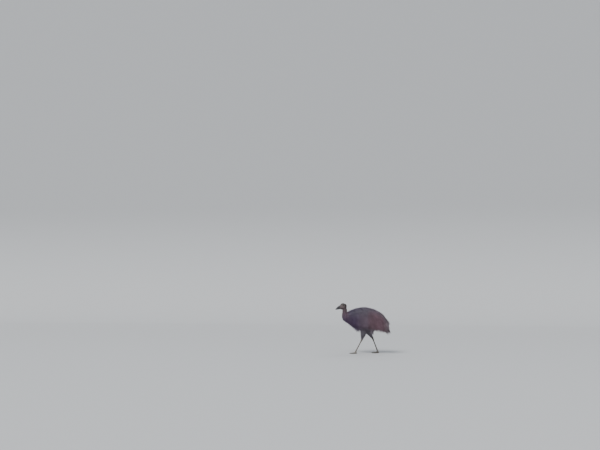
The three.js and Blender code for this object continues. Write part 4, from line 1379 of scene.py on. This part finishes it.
def leg_shells(leg):
    start, forward, fore, length = shank_axes(leg)

    def shank_ring(t, angle):
        at = mix(SHANK_START, 1.0, t)
        deep, wide = read_table(SHANK, at)
        c, s = np.cos(angle)[:, None], np.sin(angle)[:, None]
        return start + forward * length * at + fore * deep * c + ACROSS * wide * s

    shells = [shell(shank_ring, 70, 36)]
    for turn, toe_length, toe_wide, pads in TOES.values():
        origin, ahead, sideways = toe_axes(leg, turn)

        def toe_ring(t, angle):
            swell = 1 + 0.1 * math.cos(2 * math.pi * pads * t)
            wide = toe_wide * mix(1.15, 0.72, t) * swell
            height = mix(0.030, 0.015, min(1, t * 1.25)) * (0.9 + 0.1 * swell)
            centre = origin + ahead * (-0.006 + (toe_length + 0.0056) * t)
            end = 1 - 0.25 * smoothstep(0.97, 1.0, t)
            lift = height * (0.44 + 0.56 * np.cos(angle) * end)
            return centre + sideways * (wide * end * np.sin(angle))[:, None] + UP * lift[:, None]

        shells.append(shell(toe_ring, 50, 28))
    for centre, half in (
        ((leg["ball"][0] + 0.003, leg["side"] * STANCE, 0.013), (0.019, 0.017, 0.017)),
        ((leg["ball"][0], leg["side"] * STANCE, 0.027), (0.016, 0.015, 0.017)),
    ):
        def ball_ring(t, angle):
            return np.array(centre) + ellipsoid(half, t, angle)

        shells.append(shell(ball_ring, 20, 28))
    return shells


def hex_edge(u, v):
    """Closeness to the edge of a hexagon in a grid of unit hexagons, 0 inside to 1 on the edge."""
    root3 = math.sqrt(3)
    best = None
    for shift_u, shift_v in ((0, 0), (0.5, root3 / 2)):
        du = (u - shift_u + 0.5) % 1 - 0.5
        dv = (v - shift_v + root3 / 2) % root3 - root3 / 2
        reach = np.maximum(np.abs(du), 0.5 * np.abs(du) + root3 / 2 * np.abs(dv))
        best = reach if best is None else np.minimum(best, reach)
    return smoothstep(0.36, 0.5, best)


def plate_edge(share):
    """Closeness to the seam between plates, from a running share."""
    inside = share % 1
    return np.maximum(1 - smoothstep(0.0, 0.10, inside), smoothstep(0.86, 1.0, inside))


PLATE, SCALE = 0.0105, 0.0042
TOE_PLATE, TOE_SCALE = 0.0068, 0.0036
PLATE_REACH = 0.95


def scale_leg(leg, points, normals):
    """Raises plates and small scales; returns moved points and how deep each lies in a seam."""
    start, forward, fore, _ = shank_axes(leg)
    offset = points - start
    at = offset @ forward
    fore_part, side_part = offset @ fore, offset[:, 1]
    angle = np.arctan2(side_part, fore_part)
    on_shank = smoothstep(0.040, 0.052, points[:, 2])
    below_ankle = at > 0.020
    plates = (np.abs(angle) < PLATE_REACH) & below_ankle
    bend = 0.10 * np.cos(angle * 1.6)
    small = hex_edge(side_part / SCALE + angle * 2.2, at / SCALE)
    seam = np.where(plates, plate_edge(at / PLATE + bend), small)
    seam = np.maximum(seam, bell(np.abs(angle) - PLATE_REACH, 0.10) * below_ankle)
    depth = np.where(plates, 0.0009, 0.0005)
    toe_seam = np.zeros(len(points))
    toe_depth = np.zeros(len(points))
    nearest = np.full(len(points), 1e9)
    for turn, *_ in TOES.values():
        origin, ahead, sideways = toe_axes(leg, turn)
        local = points - origin
        along, aside = local @ ahead, local @ sideways
        apart = np.hypot(aside, np.minimum(0, along) * 2)
        top = points[:, 2] > 0.0055 + 0.3 * np.abs(aside)
        rows = apart < nearest
        small = hex_edge(along / TOE_SCALE, (points[:, 2] + aside) / TOE_SCALE)
        this_seam = np.where(top, plate_edge(along / TOE_PLATE), small)
        toe_seam[rows] = this_seam[rows]
        toe_depth[rows] = np.where(top, 0.0009, 0.0004)[rows]
        nearest[rows] = apart[rows]
    seam = mix(toe_seam, seam, on_shank)
    depth = mix(toe_depth, depth, on_shank)
    sole = points[:, 2] < 0.0012
    move = np.where(sole, 0, -seam * depth + 0.00035 * (1 - seam))
    return points + normals * move[:, None], seam


LEG_DARK = colour(74, 70, 66)
LEG_PALE = colour(134, 128, 118)
# painted light and shade: the leading left leg is painted lighter as if lit by the sun, the trailing right
# leg darker as if in the body's shade
LEG_PAINTED_LIGHT_AND_SHADE = {"left": 1.1, "right": 0.72}
for leg_name, leg in LEGS.items():
    mesh = remeshed(f"leg_{leg_name}", *joined(leg_shells(leg)), LEG_VOXEL, 3)
    points, seam = scale_leg(leg, points_of(mesh), normals_of(mesh))
    points[:, 2] = np.maximum(points[:, 2], FLOOR_GAP)
    move_points(mesh, points)
    tone = np.clip(0.55 + 0.4 * soft_noise(points, 0.012, 51) - 0.65 * seam, 0, 1)
    # darker within about a centimetre of the floor, times each leg's painted light and shade
    low_dark_and_painted_shade = (1 - 0.25 * bell(points[:, 2], 0.01)) * LEG_PAINTED_LIGHT_AND_SHADE[leg_name]
    paint(mesh, mix(LEG_DARK, LEG_PALE, tone[:, None]) * low_dark_and_painted_shade[:, None])
    add_piece(f"leg_{leg_name}", mesh, scutes, (f"shank_{leg_name}", f"foot_{leg_name}"))


# Claws: tapered and slightly hooked, with a keel along the top
def claw_form(leg, toe):
    turn, toe_length, _, _ = TOES[toe]
    length, root = CLAWS[toe]
    origin, ahead, sideways = toe_axes(leg, turn)
    angle = full_turn(24)
    rings = []
    for t in np.arange(30) / 29:
        thick = mix(root, 0.0006, t**1.2)
        centre = origin + ahead * (toe_length - 0.003 + (length + 0.0033) * t)
        height = max(mix(root + 0.0014, 0.0012, t**1.6), thick + 0.0002)
        keel = 1 + 0.08 * np.maximum(0, np.cos(angle)) ** 6
        rings.append(
            centre + sideways * (thick * 0.82 * np.sin(angle))[:, None]
            + UP * (height + thick * np.cos(angle) * keel)[:, None]
        )
    return ring_skin(np.array(rings))


for leg_name, leg in LEGS.items():
    for toe in TOES:
        points, groups = claw_form(leg, toe)
        points[:, 2] = np.maximum(points[:, 2], FLOOR_GAP)
        tone = speckled(points, colour(52, 48, 46), colour(98, 90, 82), 0.006, 61, 0.4)
        nodes = (f"claw_{toe}_{leg_name}",)
        piece_from(f"nail_{toe}_{leg_name}", points, groups, tone, claw_horn, nodes)


# Wings: a small stub under the coat and bare quills over it
WING_X, WING_ANGLE = -0.172, 84.0
STUB_HALF = (0.028, 0.004, 0.014)
STUB_TILT = math.radians(35)
QUILLS = 5
QUILL_LENGTH = 0.150
QUILL_RADIUS = 0.0017


def wing_form(side):
    centre = body_point(np.array([WING_X]), np.array([side * math.radians(WING_ANGLE)]), -0.001)[0]
    c, s = math.cos(STUB_TILT), math.sin(STUB_TILT)

    def stub_ring(t, angle):
        x, y, z = ellipsoid(STUB_HALF, t, angle).T
        return centre + np.stack([x * c + z * s, y, -x * s + z * c], -1)

    parts = [shell(stub_ring, 16, 20)]
    for n in range(QUILLS):
        share = n / (QUILLS - 1)
        turn = side * math.radians(WING_ANGLE + 14 * share)
        place = body_point(np.array([WING_X + 0.012 + 0.010 * share]), np.array([turn]), 0.002)
        direction = unit(np.array([[mix(1, 0.55, share), 0, mix(-0.55, -1, share)]]))
        length, steps = QUILL_LENGTH * mix(1, 0.75, share), 24
        path = [place[0]]
        for i in range(1, steps + 1):
            direction = unit(direction - UP * 0.6 / steps)
            place = place + direction * length / steps
            place = settle_on_body(place, 0.005 + 0.019 * (i / steps) ** 0.7)
            path.append(place[0])
        path = np.array(path)
        along = unit(np.gradient(path, axis=0))
        out = slope_of(body_level, path)
        across = unit(np.cross(along, out))
        out = np.cross(across, along)
        c, s = np.cos(full_turn(10))[None, :, None], np.sin(full_turn(10))[None, :, None]
        thick = QUILL_RADIUS * mix(1, 0.25, (np.arange(steps + 1) / steps) ** 1.5)
        offset = out[:, None] * c + across[:, None] * s
        parts.append(ring_skin(path[:, None] + thick[:, None, None] * offset))
    return joined(parts)


for name, side in SIDES.items():
    points, groups = wing_form(side)
    tone = speckled(points, colour(26, 24, 28), colour(58, 52, 54), 0.02, 71, 0.3)
    piece_from(f"quills_{name}", points, groups, tone, quill_horn, (f"wing_{name}",))


# Floor and backdrop in one pale sweep
def studio():
    half_width, front, back, height, bend = 30.0, -24.0, 7.0, 14.0, 4.0
    curve = np.linspace(0, math.pi / 2, 16)[1:]
    profile = [(y, 0.0) for y in np.linspace(front, back, 12)]
    profile += [(back + bend * math.sin(a), bend * (1 - math.cos(a))) for a in curve]
    profile += [(back + bend, height)]
    points = np.array([(x, y, z) for y, z in profile for x in (-half_width, half_width)])
    rows = np.arange(len(profile) - 1) * 2
    quads = np.stack([rows, rows + 1, rows + 3, rows + 2], -1)
    floor = add_object("floor", mesh_from("floor", points, [quads]))
    material, _, _, shader = new_material("floor", 0.85)
    shader.inputs["Base Color"].default_value = (0.50, 0.51, 0.52, 1)
    floor.data.materials.append(material)


def soft_light(name, toward, strength, spread, tint):
    light = bpy.data.lights.new(name, "SUN")
    light.energy = strength
    light.angle = math.radians(spread)
    light.color = tint
    lamp = add_object(name, light)
    lamp.rotation_euler = Vector(toward).to_track_quat("-Z", "Y").to_euler()


studio()
soft_light("key", (0.55, 0.75, -1.25), 2.6, 30, (1.0, 0.985, 0.96))
soft_light("back", (-0.5, -0.9, -0.8), 0.88, 40, (0.95, 0.97, 1.0))

world = bpy.data.worlds.new("sky")
world.use_nodes = True
background = world.node_tree.nodes["Background"]
background.inputs["Color"].default_value = (0.86, 0.90, 0.96, 1)
background.inputs["Strength"].default_value = 0.775
bpy.context.scene.world = world

# Camera with the photograph's framing
camera_data = bpy.data.cameras.new("camera")
camera_data.sensor_width = 36.0
camera_data.lens = 36.0
camera_data.clip_end = 100.0
camera = add_object("camera", camera_data)
camera.location = (SHIFT + 0.0045, -10.527, 1.1576)
camera.rotation_euler = (math.radians(90 + 5.767), 0, math.radians(6.04))
bpy.context.scene.camera = camera
